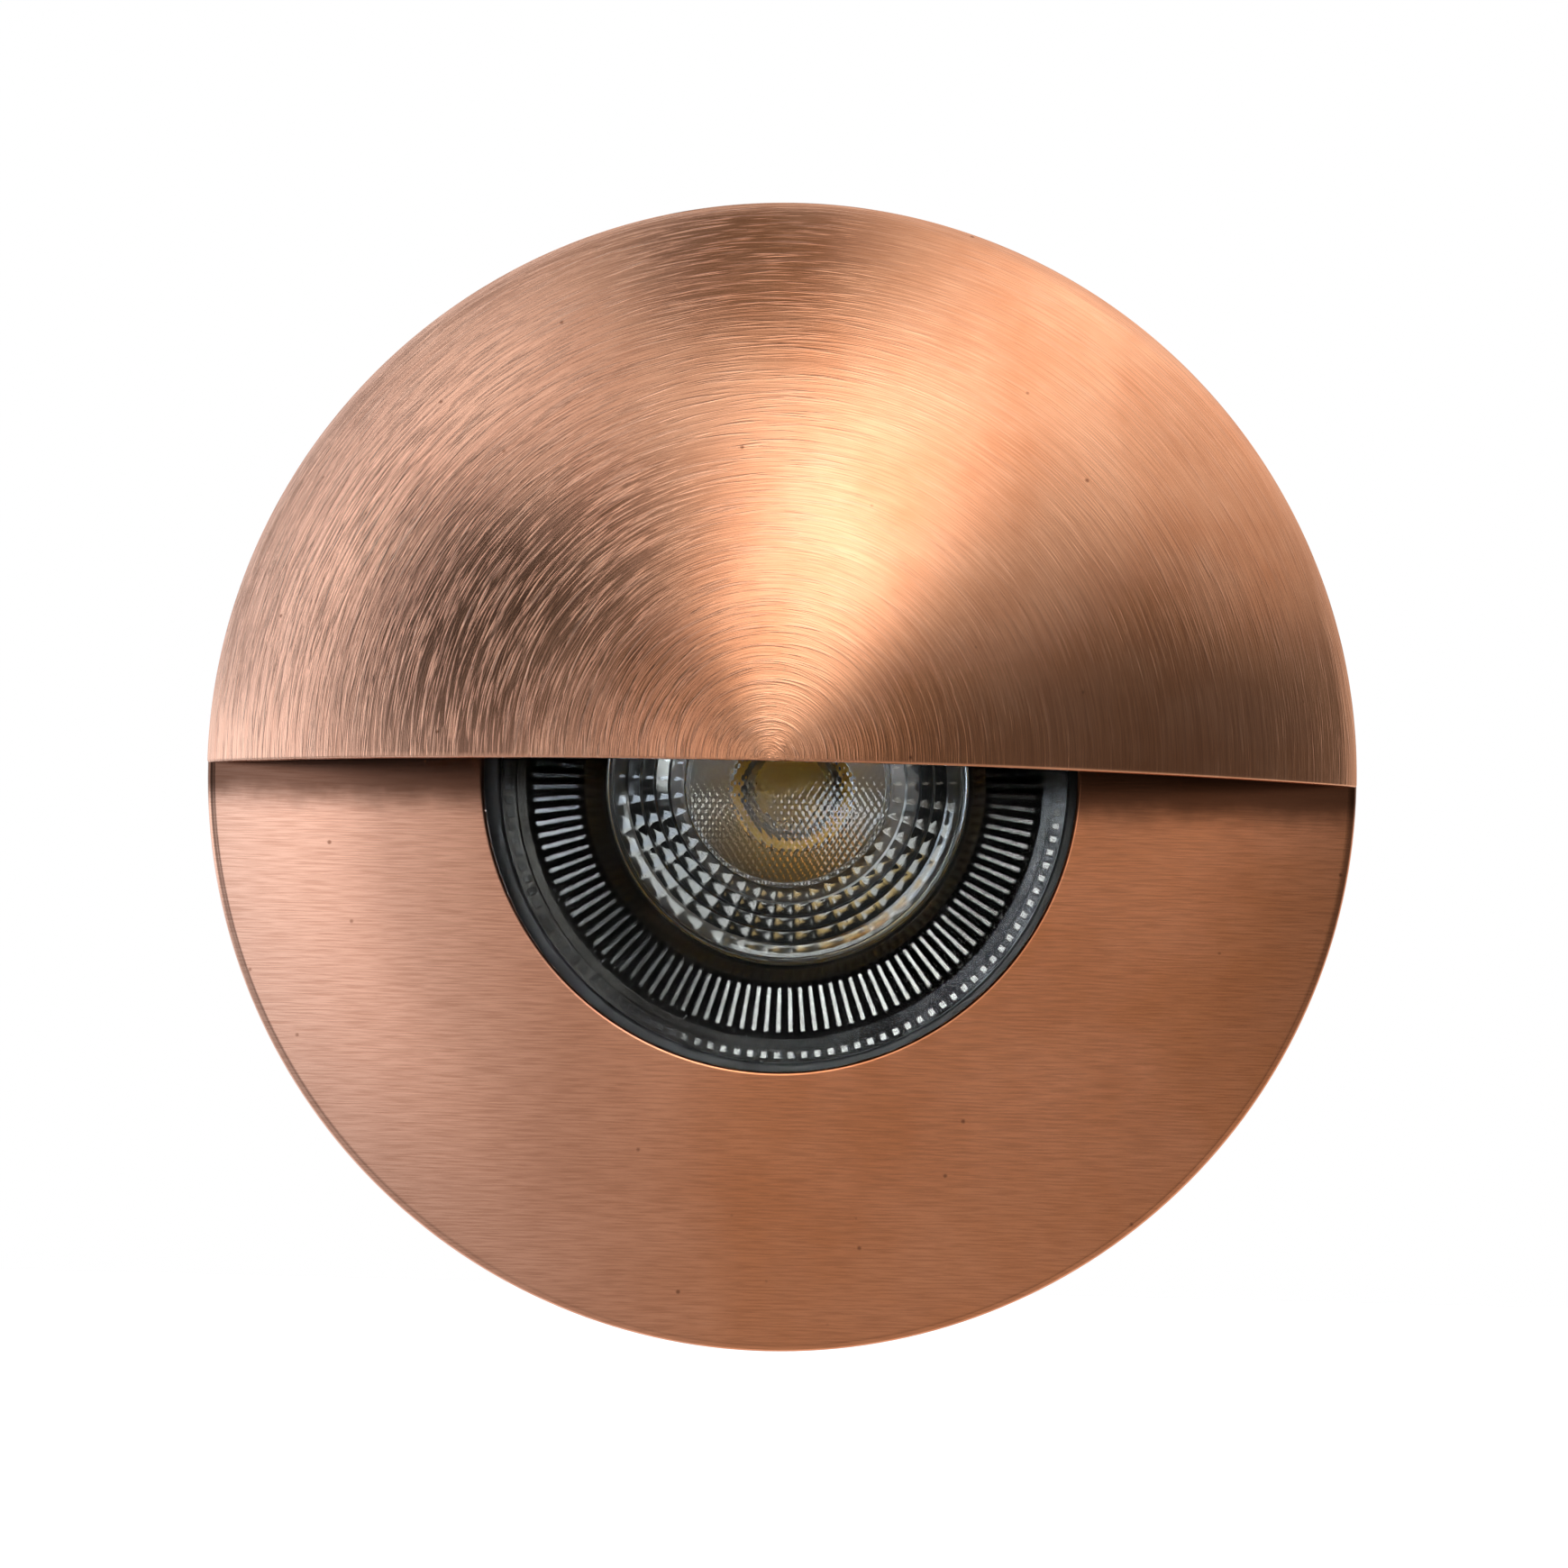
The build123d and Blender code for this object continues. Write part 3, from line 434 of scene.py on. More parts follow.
# %% A general finish for moulded, cast and coated parts
def plain_finish(name, base, patch, rough, patch_mm, grain_mm, grain_depth_mm, metallic=0.0, **shader):
    """Two close tones in soft patches, gloss that varies with them, and a fine grain."""
    material, tree, surface = start_material(name, metallic, sum(rough) / 2, **shader)
    place = add(tree, "ShaderNodeTexCoord").outputs["Object"]
    patches = add(tree, "ShaderNodeTexNoise", {
        "Vector": place, "Scale": 1 / (patch_mm * mm), "Detail": 3}).outputs["Fac"]
    tone = add(tree, "ShaderNodeValToRGB", {"Fac": patches})
    tone.color_ramp.elements[0].position = 0.38
    tone.color_ramp.elements[0].color = linear(base)
    tone.color_ramp.elements[1].position = 0.66
    tone.color_ramp.elements[1].color = linear(patch)
    tree.links.new(tone.outputs["Color"], surface.inputs["Base Color"])
    gloss = add(tree, "ShaderNodeMapRange", {
        "Value": patches, "From Min": 0.3, "From Max": 0.7, "To Min": rough[0], "To Max": rough[1]})
    tree.links.new(gloss.outputs["Result"], surface.inputs["Roughness"])
    grain = add(tree, "ShaderNodeTexNoise", {
        "Vector": place, "Scale": 1 / (grain_mm * mm), "Detail": 2})
    bump = add(tree, "ShaderNodeBump", {
        "Height": grain.outputs["Fac"], "Strength": 0.5, "Distance": grain_depth_mm * mm})
    tree.links.new(bump.outputs["Normal"], surface.inputs["Normal"])
    return material


lamp_black = plain_finish("Black polycarbonate", "#0b0b0c", "#131212", (0.1, 0.18), 5, 0.5, 0.001)
rim_grey = plain_finish("Grey polycarbonate", "#1c1c1e", "#242426", (0.25, 0.38), 4, 0.3, 0.003,
                        Specular_IOR_Level=0.1)
print("made", lamp_black.name, "and", rim_grey.name)

# %% [markdown]
# ## The lamp's rim and ribbed cone
# A smooth ring holds the front together. Behind it the black cone drops to the lens, with 128
# flat-topped ribs on its shallow shoulder and a ring of 128 small teeth outside them. One spun
# profile carries all the ribs, with twelve columns of faces to each: four make its flat top, and the
# rest make steep sides that meet in a V. Flat tops matter, because each mirrors a window as one even
# bar of light, while the V stays dark. The teeth are one bevelled block, spun as copies.

# %% Spin the rim
RIM_INNER, RIM_OUTER, RIM_FRONT, RIM_BACK = 22.9, 25.0, 3.4, 6.4
lamp_rim_bm = spun([(RIM_INNER, RIM_FRONT), (RIM_OUTER, RIM_FRONT), (RIM_OUTER, RIM_BACK),
                    (RIM_INNER, RIM_BACK)], 192)
soften(lamp_rim_bm, ring(lamp_rim_bm, RIM_OUTER, RIM_FRONT), 0.8, 4)
soften(lamp_rim_bm, ring(lamp_rim_bm, RIM_INNER, RIM_FRONT), 0.3, 4)
finish_piece("lamp_front_ring", lamp_rim_bm, "barrel", rim_grey, ["lamp_rim"])

# %% [markdown]
# The cone is spun with the ribs' valleys as its surface, and then the points under each rib are
# lifted towards the front. How far depends on their angle: all the way on a rib's flat top, and ever
# less down its sides. The ribs are lower at both ends.

# %% Spin the cone and lift its ribs
RIBS, COLUMNS_PER_RIB, RIB_ROWS = 128, 12, 9
RIBS_OUTER, RIBS_INNER, BAND_DEPTH, SHOULDER_FALL = 20.9, 16.3, 4.8, 0.7
RIB_HEIGHT, SIDE_SHARE = 0.6, 0.66
END_HEIGHT, OUTER_TAPER, INNER_TAPER = 0.35, 0.12, 0.1
CONE_LIP = [(RIM_INNER, 4.0), (21.8, 4.0), (21.8, 4.7), (21.7, BAND_DEPTH), (21.0, BAND_DEPTH)]
CONE_BACK = [(14.95, 10.5), (14.85, 10.6), (14.85, 12.4), (17.9, 12.4), (RIM_INNER, RIM_BACK)]


def valley_depth(run):
    """Depth between the ribs, where run goes from 0 at their outer ends to 1 at the inner ones."""
    return BAND_DEPTH + RIB_HEIGHT + SHOULDER_FALL * run


runs = [row / RIB_ROWS for row in range(RIB_ROWS + 1)]
shoulder = [(RIBS_OUTER + (RIBS_INNER - RIBS_OUTER) * run, valley_depth(run)) for run in runs]
cone_bm = spun(CONE_LIP + shoulder + CONE_BACK, RIBS * COLUMNS_PER_RIB)
for vert in cone_bm.verts:
    radius = radius_of(vert.co) / mm
    run = (RIBS_OUTER - radius) / (RIBS_OUTER - RIBS_INNER)
    if not -0.001 < run < 1.001 or abs(vert.co.y / mm - valley_depth(max(0.0, run))) > 0.01:
        continue
    from_crest = abs((math.atan2(vert.co.z, vert.co.x) / math.tau * RIBS + 0.5) % 1.0 - 0.5) * 2
    crest = min(1.0, (1 - from_crest) / SIDE_SHARE)
    ends = min(1.0, END_HEIGHT + run / OUTER_TAPER, END_HEIGHT + (1 - run) / INNER_TAPER)
    vert.co.y -= RIB_HEIGHT * crest * ends * mm
print("cone faces:", len(cone_bm.faces))

# %% [markdown]
# The teeth stand on the lip outside the ribs, and each shows as a bright dot. A tooth is a block with
# narrow bevels. Its front leans inward, where its reflection finds more light, and one segment to a
# bevel keeps that front flat. The copies are joined to the cone, because the two are one moulding.

# %% Add the ring of teeth
TOOTH_SIZE, TOOTH_BEVEL = (0.66, 0.6, 0.6), 0.07
TOOTH_R, TOOTH_DEPTH, TOOTH_TILT = 22.3, 3.9, 0.2
tooth_bm = bmesh.new()
bmesh.ops.create_cube(tooth_bm, size=1.0)
bmesh.ops.scale(tooth_bm, vec=[side * mm for side in TOOTH_SIZE], verts=tooth_bm.verts)
soften(tooth_bm, tooth_bm.edges[:], TOOTH_BEVEL, 1)
for vert in tooth_bm.verts:
    vert.co.y -= TOOTH_TILT * vert.co.x
bmesh.ops.translate(tooth_bm, vec=(TOOTH_R * mm, TOOTH_DEPTH * mm, 0), verts=tooth_bm.verts)
pitch = math.tau / RIBS
bmesh.ops.spin(tooth_bm, geom=tooth_bm.faces[:], cent=(0, 0, 0), axis=(0, 1, 0),
               angle=math.tau - pitch, steps=RIBS - 1, use_duplicate=True, use_merge=False)
teeth_mesh = bpy.data.meshes.new("teeth")
tooth_bm.to_mesh(teeth_mesh)
tooth_bm.free()
cone_bm.from_mesh(teeth_mesh)
bpy.data.meshes.remove(teeth_mesh)
finish_piece("lamp_ribbed_cone", cone_bm, "barrel", lamp_black, ["lamp_baffle"])

# %% [markdown]
# ## The collimator lens
# The lens is one clear acrylic moulding. Five rows of 42 small pillows blend the beam's edge, and a
# finely embossed middle softens its centre. Real pillows need real curvature, because each one shows
# its own small picture of the lights. They are pressed into a spun profile like the ribs.

# %% Clear acrylic that lets lamps through
def clear_material(name, tint, roughness, ior, bump_mm=0.0, pitch_mm=1.0):
    """A clear solid. Shadow rays pass it, so that what lies behind still gets direct light.

    Polished glass has roughness 0; a moulding is a little hazier in some places than in others.
    With a bump, two sets of fine waves cross on its surface like an embossed mesh.
    """
    material, tree, surface = start_material(
        name, roughness=roughness, IOR=ior, Transmission_Weight=1.0)
    place = add(tree, "ShaderNodeTexCoord").outputs["Object"]
    haze = add(tree, "ShaderNodeTexNoise", {"Vector": place, "Scale": 1 / (6 * mm), "Detail": 3})
    tone = add(tree, "ShaderNodeValToRGB", {"Fac": haze.outputs["Fac"]})
    tone.color_ramp.elements[0].color = linear(tint)
    tone.color_ramp.elements[1].color = linear("#ffffff")
    tree.links.new(tone.outputs["Color"], surface.inputs["Base Color"])
    if roughness:
        wiped = add(tree, "ShaderNodeMapRange", {
            "Value": haze.outputs["Fac"], "From Min": 0.3, "From Max": 0.7,
            "To Min": roughness, "To Max": roughness + 0.04})
        tree.links.new(wiped.outputs["Result"], surface.inputs["Roughness"])
    if bump_mm:
        waves = []
        for turn in (32, -32):
            mapped = add(tree, "ShaderNodeMapping", {
                "Vector": place, "Rotation": (0, math.radians(turn), 0)})
            waves.append(add(tree, "ShaderNodeTexWave", {
                "Vector": mapped.outputs["Vector"], "Scale": 0.314 / (pitch_mm * mm),
                "Distortion": 0.0}, wave_type="BANDS", bands_direction="X").outputs["Fac"])
        mesh_height = add(tree, "ShaderNodeMath", {0: waves[0], 1: waves[1]}, operation="ADD")
        bump = add(tree, "ShaderNodeBump", {
            "Height": mesh_height.outputs[0], "Strength": 1.0, "Distance": bump_mm * mm})
        tree.links.new(bump.outputs["Normal"], surface.inputs["Normal"])
    open_to_lamps = add(tree, "ShaderNodeBsdfTransparent")
    shadow_ray = add(tree, "ShaderNodeLightPath").outputs["Is Shadow Ray"]
    mixed = add(tree, "ShaderNodeMixShader", {
        0: shadow_ray, 1: surface.outputs["BSDF"], 2: open_to_lamps.outputs["BSDF"]})
    tree.links.new(mixed.outputs["Shader"], tree.nodes["Material Output"].inputs["Surface"])
    return material


acrylic = clear_material("Clear acrylic", "#e9eef0", 0.03, 1.49)
embossed_acrylic = clear_material("Embossed acrylic", "#e9eef0", 0.05, 1.49, 0.008, 0.5)
frosted_acrylic = clear_material("Frosted acrylic", "#e9eef0", 0.8, 1.49)
# its coating against reflections is stood for by a low index of refraction
cover_glass = clear_material("Bloomed glass", "#eef4f1", 0.0, 1.12)
print("made", acrylic.name, embossed_acrylic.name, frosted_acrylic.name, cover_glass.name)

# %% [markdown]
# The lens's front steps down row by row towards a groove, and inside the groove the middle bulges
# forward. Its back is a cone with a pocket that fits over the light source. The pocket's wall is
# frosted and the middle is embossed, so faces there take materials of their own.

# %% Spin the lens and press its pillows
PILLOWS_AROUND, PILLOW_ROWS, PILLOW_STEPS = 42, 5, 6
PILLOWS_OUTER, PILLOWS_INNER, PILLOW_HEIGHT = 14.2, 8.5, 0.03
LENS_FRONT, ROW_DROP, ROW_SLOPE, DEEPEST_FRONT = 10.3, 0.3, 0.3, 12.5
MIDDLE_R, MIDDLE_BULGE, GROOVE = 8, 0.6, 0.2
EMBOSSED_R, POCKET_R, POCKET_FROM = 8.45, 4.0, 17.9
LENS_EDGE = [(14.75, LENS_FRONT), (14.6, 10.05), (14.45, 10.0), (14.3, 10.05)]
LENS_BACK = [(0, 18.0), (2.8, 18.0), (3.4, 18.6), (3.9, 23.0), (4.6, 23.0), (9.0, 17.5),
             (13.25, 12.6), (14.75, 12.4)]
row_width = (PILLOWS_OUTER - PILLOWS_INNER) / PILLOW_ROWS
lens_front = LENS_EDGE[:]
for row in range(PILLOW_ROWS):
    for step in range(PILLOW_STEPS + (row == PILLOW_ROWS - 1)):
        across = step / PILLOW_STEPS
        lens_front.append((PILLOWS_OUTER - (row + across) * row_width,
                           LENS_FRONT + ROW_DROP * (row + ROW_SLOPE * across)))
middle_depth = LENS_FRONT + ROW_DROP * PILLOW_ROWS
lens_front += [(8.4, middle_depth + GROOVE), (8.05, middle_depth + GROOVE),
               (MIDDLE_R, middle_depth - GROOVE)]
lens_front += [(r, middle_depth - GROOVE - MIDDLE_BULGE * (1 - (r / MIDDLE_R) ** 2))
               for r in range(MIDDLE_R - 1, -1, -1)]
lens_bm = spun(lens_front + LENS_BACK, PILLOWS_AROUND * PILLOW_STEPS)
for vert in lens_bm.verts:
    radius = radius_of(vert.co) / mm
    row = (PILLOWS_OUTER - radius) / row_width
    if not -0.001 < row < PILLOW_ROWS + 0.001 or vert.co.y > DEEPEST_FRONT * mm:
        continue
    across = abs(2 * (row % 1.0) - 1)
    around = abs(2 * (math.atan2(vert.co.z, vert.co.x) / math.tau * PILLOWS_AROUND % 1.0) - 1)
    vert.co.y -= PILLOW_HEIGHT * mm * (1 - across ** 2) * (1 - around ** 2)
lens = finish_piece("lamp_collimator", lens_bm, "barrel", acrylic, ["lamp_lens"])
lens.data.materials.append(embossed_acrylic)
lens.data.materials.append(frosted_acrylic)
for face in lens.data.polygons:
    if radius_of(face.center) < EMBOSSED_R * mm and face.center.y < DEEPEST_FRONT * mm:
        face.material_index = 1
    elif radius_of(face.center) < POCKET_R * mm and face.center.y > POCKET_FROM * mm:
        face.material_index = 2

# %% [markdown]
# ## Finishes of the pieces behind the face
# The other CAD pieces have the right shape, and each gets the finish of its real material. They are
# listed by the record's material slot. Tones are close pairs, because moulded and cast parts vary
# only a little over their surface.

# %% List the plain finishes
finishes = {
    "black_nylon": plain_finish("Moulded nylon", "#1b1b1d", "#252527", (0.42, 0.58), 9, 0.45, 0.02),
    "black_rubber": plain_finish("Nitrile rubber", "#121212", "#1c1b1b", (0.6, 0.75), 3, 0.3, 0.01),
    "clear_silicone": clear_material("Silicone rubber", "#c9cfcd", 0.25, 1.41),
    "grey_lamp_plastic": rim_grey,
    "black_lamp_plastic": lamp_black,
    "clear_lens_plastic": acrylic,
    "cover_glass": cover_glass,
    "yellow_phosphor": plain_finish(
        "Phosphor gel", "#e0a52c", "#ecb640", (0.3, 0.42), 2, 0.3, 0.01),
    "board_aluminium": plain_finish(
        "Rolled aluminium", "#c9cacb", "#d5d6d7", (0.32, 0.45), 4, 0.2, 0.004, metallic=1.0),
    "cast_aluminium": plain_finish(
        "Die-cast aluminium", "#8d9092", "#a1a3a4", (0.42, 0.58), 5, 0.35, 0.02, metallic=1.0),
    "circuit_board": plain_finish(
        "Circuit board", "#14502e", "#1b6038", (0.3, 0.45), 3, 0.4, 0.01),
    "driver_components": plain_finish(
        "Component plastic", "#25252a", "#303036", (0.35, 0.5), 2, 0.3, 0.01),
    "white_lamp_plastic": plain_finish(
        "White polybutylene", "#dcdcd8", "#e6e5e0", (0.32, 0.45), 5, 0.35, 0.006),
    "nickel_plate": plain_finish(
        "Nickel plate", "#c9c6bd", "#d8d5cc", (0.14, 0.26), 2, 0.3, 0.002, metallic=1.0),
    "glazed_steatite": plain_finish(
        "Glazed steatite", "#dedad0", "#e8e5dc", (0.12, 0.24), 4, 0.8, 0.01, Coat_Weight=0.5),
    "contact_bronze": plain_finish(
        "Spring bronze", "#c79a5f", "#b98a50", (0.28, 0.4), 2, 0.25, 0.004, metallic=1.0),
    "plated_steel": plain_finish(
        "Zinc-plated steel", "#b9babb", "#c8c7c0", (0.26, 0.42), 3, 0.25, 0.006, metallic=1.0),
    "sleeved_lead": plain_finish(
        "Woven glass sleeving", "#d9d6cb", "#c9c6ba", (0.6, 0.75), 1.2, 0.35, 0.04),
    "terminal_nylon": plain_finish(
        "White nylon", "#d8d8d0", "#e2e2da", (0.38, 0.5), 4, 0.4, 0.012),
}
print("finishes:", len(finishes))

# %% [markdown]
# ## Turned metal
# The barrel is turned from brass bar and the collar from copper. A lathe leaves fine rings: round
# the cylinder on its sides and as circles on its ends. Both are the same pattern when the texture is
# read by distance from the axis and depth, so the two are worked out from Object coordinates.

# %% A function for turned metal
def turned_metal(name, clean, dull, roughness, pitch_mm, depth_mm):
    """Lathe rings about the Y axis, with tarnish in soft patches."""
    material, tree, surface = start_material(name, metallic=1.0, roughness=roughness)
    place = add(tree, "ShaderNodeTexCoord").outputs["Object"]
    split = add(tree, "ShaderNodeSeparateXYZ", {"Vector": place})
    flat = add(tree, "ShaderNodeCombineXYZ", {"X": split.outputs["X"], "Z": split.outputs["Z"]})
    distance = add(tree, "ShaderNodeVectorMath", {0: flat.outputs[0]}, operation="LENGTH")
    where = add(tree, "ShaderNodeCombineXYZ", {
        "X": distance.outputs["Value"], "Y": split.outputs["Y"]})
    rings = add(tree, "ShaderNodeTexNoise", {
        "Vector": where.outputs[0], "Scale": 1 / (pitch_mm * mm), "Detail": 3, "Roughness": 0.7})
    tarnish = add(tree, "ShaderNodeTexNoise", {"Vector": place, "Scale": 1 / (11 * mm), "Detail": 4})
    tone = add(tree, "ShaderNodeValToRGB", {"Fac": tarnish.outputs["Fac"]})
    tone.color_ramp.elements[0].position = 0.35
    tone.color_ramp.elements[0].color = linear(dull)
    tone.color_ramp.elements[1].position = 0.65
    tone.color_ramp.elements[1].color = linear(clean)
    tree.links.new(tone.outputs["Color"], surface.inputs["Base Color"])
    gloss = add(tree, "ShaderNodeMapRange", {
        "Value": rings.outputs["Fac"], "To Min": roughness - 0.08, "To Max": roughness + 0.1})
    tree.links.new(gloss.outputs["Result"], surface.inputs["Roughness"])
    bump = add(tree, "ShaderNodeBump", {
        "Height": rings.outputs["Fac"], "Strength": 0.5, "Distance": depth_mm * mm})
    tree.links.new(bump.outputs["Normal"], surface.inputs["Normal"])
    return material


finishes["turned_brass"] = turned_metal("Turned brass", "#d9b36a", "#bf9650", 0.3, 0.35, 0.01)
finishes["brushed_copper"] = turned_metal("Turned copper", "#e3a27c", "#cf8a63", 0.34, 0.3, 0.008)

# %% [markdown]
# The record names one material slot for every CAD node, and that name picks the finish.

# %% Give every CAD node its finish
slot_of = {part["node"]: part["material_slot"] for part in frame["record"]["subparts"]}
for node, obj in frame["nodes"].items():
    for material_slot in obj.material_slots:
        material_slot.material = finishes[slot_of[node]]
print("finished", len(slot_of), "CAD nodes")

# %% [markdown]
# ## Floor, backdrop and light
# The light hangs in a plain pale studio. The world is white to the camera and in reflections and
# gives soft light all round. The floor is pale and keeps a soft shadow.

# %% White world and pale floor
FLOOR_HEIGHT, FLOOR_SIZE = -0.13, 6.0
world = bpy.data.worlds.new("Studio")
bpy.context.scene.world = world
world.use_nodes = True
world_tree = world.node_tree
seen = add(world_tree, "ShaderNodeLightPath")
by_camera_or_gloss = add(world_tree, "ShaderNodeMath", {
    0: seen.outputs["Is Camera Ray"], 1: seen.outputs["Is Glossy Ray"]}, operation="MAXIMUM")
or_through_glass = add(world_tree, "ShaderNodeMath", {
    0: by_camera_or_gloss.outputs[0], 1: seen.outputs["Is Transmission Ray"]}, operation="MAXIMUM")
level = add(world_tree, "ShaderNodeMapRange", {
    "Value": or_through_glass.outputs[0], "To Min": 0.82, "To Max": 1.0})
background = world_tree.nodes["Background"]
background.inputs["Color"].default_value = linear("#ffffff")
world_tree.links.new(level.outputs["Result"], background.inputs["Strength"])

floor_material, floor_tree, floor_surface = start_material("Pale floor", roughness=0.9)
floor_surface.inputs["Base Color"].default_value = linear("#f4f4f2")
glow = add(floor_tree, "ShaderNodeEmission", {"Color": linear("#ffffff"), "Strength": 0.4})
lit = add(floor_tree, "ShaderNodeAddShader", {
    0: floor_surface.outputs["BSDF"], 1: glow.outputs["Emission"]})
floor_tree.links.new(lit.outputs["Shader"], floor_tree.nodes["Material Output"].inputs["Surface"])
floor_bm = bmesh.new()
bmesh.ops.create_grid(floor_bm, x_segments=1, y_segments=1, size=FLOOR_SIZE,
                      matrix=Matrix.Translation((0, 0, FLOOR_HEIGHT)))
floor_mesh = bpy.data.meshes.new("Floor")
floor_bm.to_mesh(floor_mesh)
floor_bm.free()
floor_mesh.materials.append(floor_material)
floor = bpy.data.objects.new("Floor", floor_mesh)
bpy.context.scene.collection.objects.link(floor)
# metal and glass show the light tent of the next step, not the floor
floor.visible_glossy = False
floor.visible_transmission = False
print("studio ready")

# %% [markdown]
# A metal shows its surroundings more than itself. This copper is bright where it mirrors what is above
# right of the viewer, and darker where it mirrors what is left, right and overhead. A light tent round
# the object has brighter and darker cloth in those directions. Only reflections and glass see it, so
# plain surfaces keep the soft light.

# %% A light tent with brighter and darker cloth
TENT_R, DARK_ROOM = 0.9, 0.08
FRONT_CLOTH, BACK_CLOTH, BACK_BEGINS = 0.5, 1.0, 0.17
cloth_patches = [
    # (angle round the axis, its spread, angle off the axis, its spread, brightness)
    (60, 190, 12, 20, 0.1),
    (170, 20, 30, 5, 0.9),
    (90, 33, 40, 31, 2.6),
    (55, 23, 90, 22, 1.7),
    (5, 30, 60, 55, 0.1),
    (37, 17, 87, 11, 0.8),
    (140, 43, 55, 25, 0.02),
    (150, 35, 83, 7, 1.8),
    (98, 12, 92, 24, 0.2),
    (140, 60, 108, 6, 0.1),
    (165, 40, 13, 6, 1.6),
    (60, 35, 8, 5, 0.75),
    (130, 30, 6, 4, 0.4),
    (180, 10, 96, 24, 1.4),
    (116, 20, 65, 8, 1.1),
    (-90, 85, 10, 13, 0.46),
    (170, 40, 3, 3, 0.5),
]
panes = [
    # the same, seen through glass only: small bright windows, and their colour
    (110, 22, 20, 3.5, 90, "#ffffff"),
    (25, 40, 18, 2.5, 1.0, "#ffffff"),
    (155, 30, 27, 4.5, 70, "#ffffff"),
    (50, 28, 9, 3.5, 40, "#ffffff"),
    (155, 13, 13.5, 3.2, 60, "#ffffff"),
    (125, 14, 13.5, 3, 10, "#ffd890"),
    (0, 42, 8, 4, 60, "#e4edff"),
    (-62, 20, 11, 3.5, 9, "#ffb040"),
    (206, 36, 10, 4, 4, "#d0c4b8"),
]


def share_of(direction, angle, angle_spread, off, off_spread):
    """How far a direction lies in a patch: 1 in its middle, 0 outside, with a soft edge."""
    off_axis = math.degrees(math.acos(max(-1.0, min(1.0, -direction.y))))
    turn = (math.degrees(math.atan2(direction.z, direction.x)) - angle + 180) % 360 - 180
    return math.exp(-(turn / angle_spread) ** 4 - ((off_axis - off) / off_spread) ** 4)


def cloth_level(direction):
    """Brightness of the cloth in a direction: its base level, covered by one patch after another."""
    value = FRONT_CLOTH if direction.y < BACK_BEGINS else BACK_CLOTH
    for *place, brightness in cloth_patches:
        value += (brightness - value) * share_of(direction, *place)
    return value


def pane_light(direction):
    """Coloured light of the windows in a direction."""
    light = Vector((DARK_ROOM, DARK_ROOM, DARK_ROOM))
    for *place, brightness, colour in panes:
        light += Vector(linear(colour)[:3]) * brightness * share_of(direction, *place)
    return (*light, 1.0)


tent_bm = bmesh.new()
bmesh.ops.create_icosphere(tent_bm, subdivisions=6, radius=TENT_R)
tent_mesh = bpy.data.meshes.new("Light tent")
tent_bm.to_mesh(tent_mesh)
tent_bm.free()
cloth = tent_mesh.attributes.new("cloth", "FLOAT", "POINT")
windows = tent_mesh.attributes.new("windows", "FLOAT_COLOR", "POINT")
for i, vert in enumerate(tent_mesh.vertices):
    direction = vert.co.normalized()
    cloth.data[i].value = cloth_level(direction)
    windows.data[i].color = pane_light(direction)
tent_material, tent_tree, tent_surface = start_material("Tent cloth")
tent_tree.nodes.remove(tent_surface)
cloth_value = add(tent_tree, "ShaderNodeAttribute", attribute_name="cloth").outputs["Fac"]
window_value = add(tent_tree, "ShaderNodeAttribute", attribute_name="windows").outputs["Color"]
through_glass = add(tent_tree, "ShaderNodeLightPath").outputs["Is Transmission Ray"]
tent_colour = add(tent_tree, "ShaderNodeMix", {
    0: through_glass, 6: cloth_value, 7: window_value}, data_type="RGBA")
tent_light = add(tent_tree, "ShaderNodeEmission", {"Color": tent_colour.outputs[2], "Strength": 1.0})
tent_tree.links.new(tent_light.outputs[0], tent_tree.nodes["Material Output"].inputs["Surface"])
tent_mesh.materials.append(tent_material)
tent = bpy.data.objects.new("Light tent", tent_mesh)
bpy.context.scene.collection.objects.link(tent)
tent.visible_camera = False
tent.visible_diffuse = False
tent.visible_shadow = False
tent_material.cycles.emission_sampling = "NONE"
print("tent:", len(tent_mesh.vertices), "points")

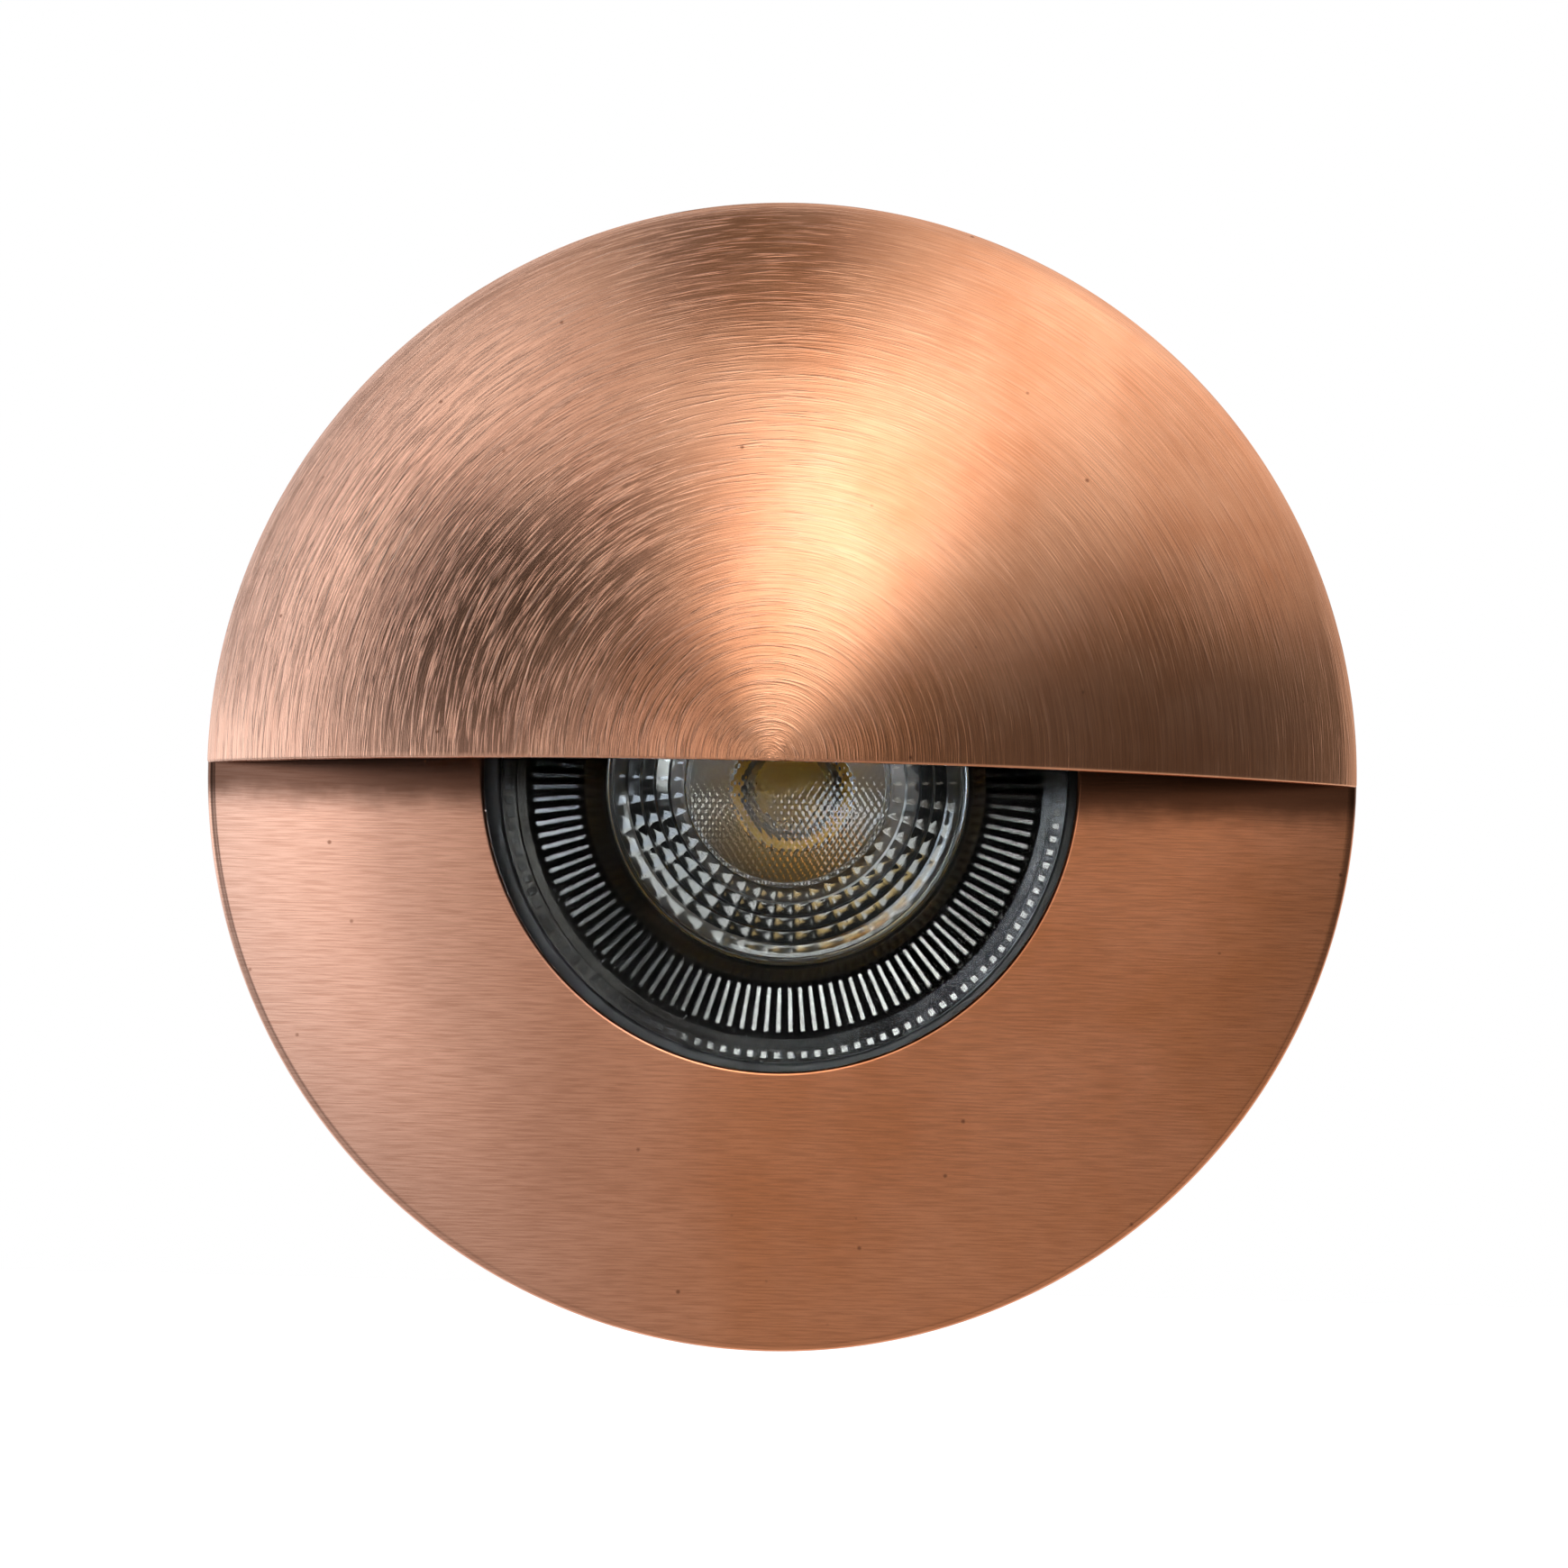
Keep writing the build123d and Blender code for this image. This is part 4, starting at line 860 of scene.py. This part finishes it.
# %% [markdown]
# One lamp from above, a little to the right, gives plain surfaces a light side and a shaded one. It is
# left out of reflections, where the tent already has its bright cloth.

# %% Key lamp
def place_lamp(name, angle, off_axis, distance, size, power):
    """An area lamp, aimed at the object's front, placed by its angles from the axis."""
    angle, off_axis = math.radians(angle), math.radians(off_axis)
    place = Vector((math.sin(off_axis) * math.cos(angle), -math.cos(off_axis),
                    math.sin(off_axis) * math.sin(angle))) * distance
    lamp = bpy.data.lights.new(name, "AREA")
    lamp.size, lamp.energy = size, power
    obj = bpy.data.objects.new(name, lamp)
    obj.location = place
    obj.rotation_euler = (-place).to_track_quat("-Z", "Y").to_euler()
    bpy.context.scene.collection.objects.link(obj)
    obj.visible_glossy = False


place_lamp("Window", 70, 40, 0.6, 0.24, 0.45)

# %% [markdown]
# ## Camera
# The photograph looks at the face almost squarely, from slightly below and to the right, and is
# turned a little, so the hood's level edge falls to the right. The lens is long, because the disc
# shows hardly any perspective. The distance is free, and the focal length follows from the disc's
# share of the frame.

# %% Camera
VIEW_AZIMUTH, VIEW_ELEVATION, VIEW_ROLL = 2.5, -3.0, 1.4
SENSOR_WIDTH, DISTANCE = 36.0, 0.6
DISC_SHARE = 1278 / 1740
camera_data = bpy.data.cameras.new("Camera")
camera_data.sensor_width = SENSOR_WIDTH
camera_data.lens = SENSOR_WIDTH * DISTANCE / (2 * PLATE_R * mm / DISC_SHARE)
camera = bpy.data.objects.new("Camera", camera_data)
bpy.context.scene.collection.objects.link(camera)
azimuth, elevation = math.radians(VIEW_AZIMUTH), math.radians(VIEW_ELEVATION)
towards = Vector((math.sin(azimuth) * math.cos(elevation), -math.cos(azimuth) * math.cos(elevation),
                  math.sin(elevation)))
aim = Vector((0.00035, PLATE_FRONT * mm, -0.00075))
camera.location = aim + towards * DISTANCE
turn = (-towards).to_track_quat("-Z", "Y") @ Matrix.Rotation(
    math.radians(VIEW_ROLL), 3, "Z").to_quaternion()
camera.rotation_euler = turn.to_euler()
bpy.context.scene.camera = camera
bpy.context.scene.view_settings.view_transform = "Standard"
print("lens", round(camera_data.lens, 1), "mm")
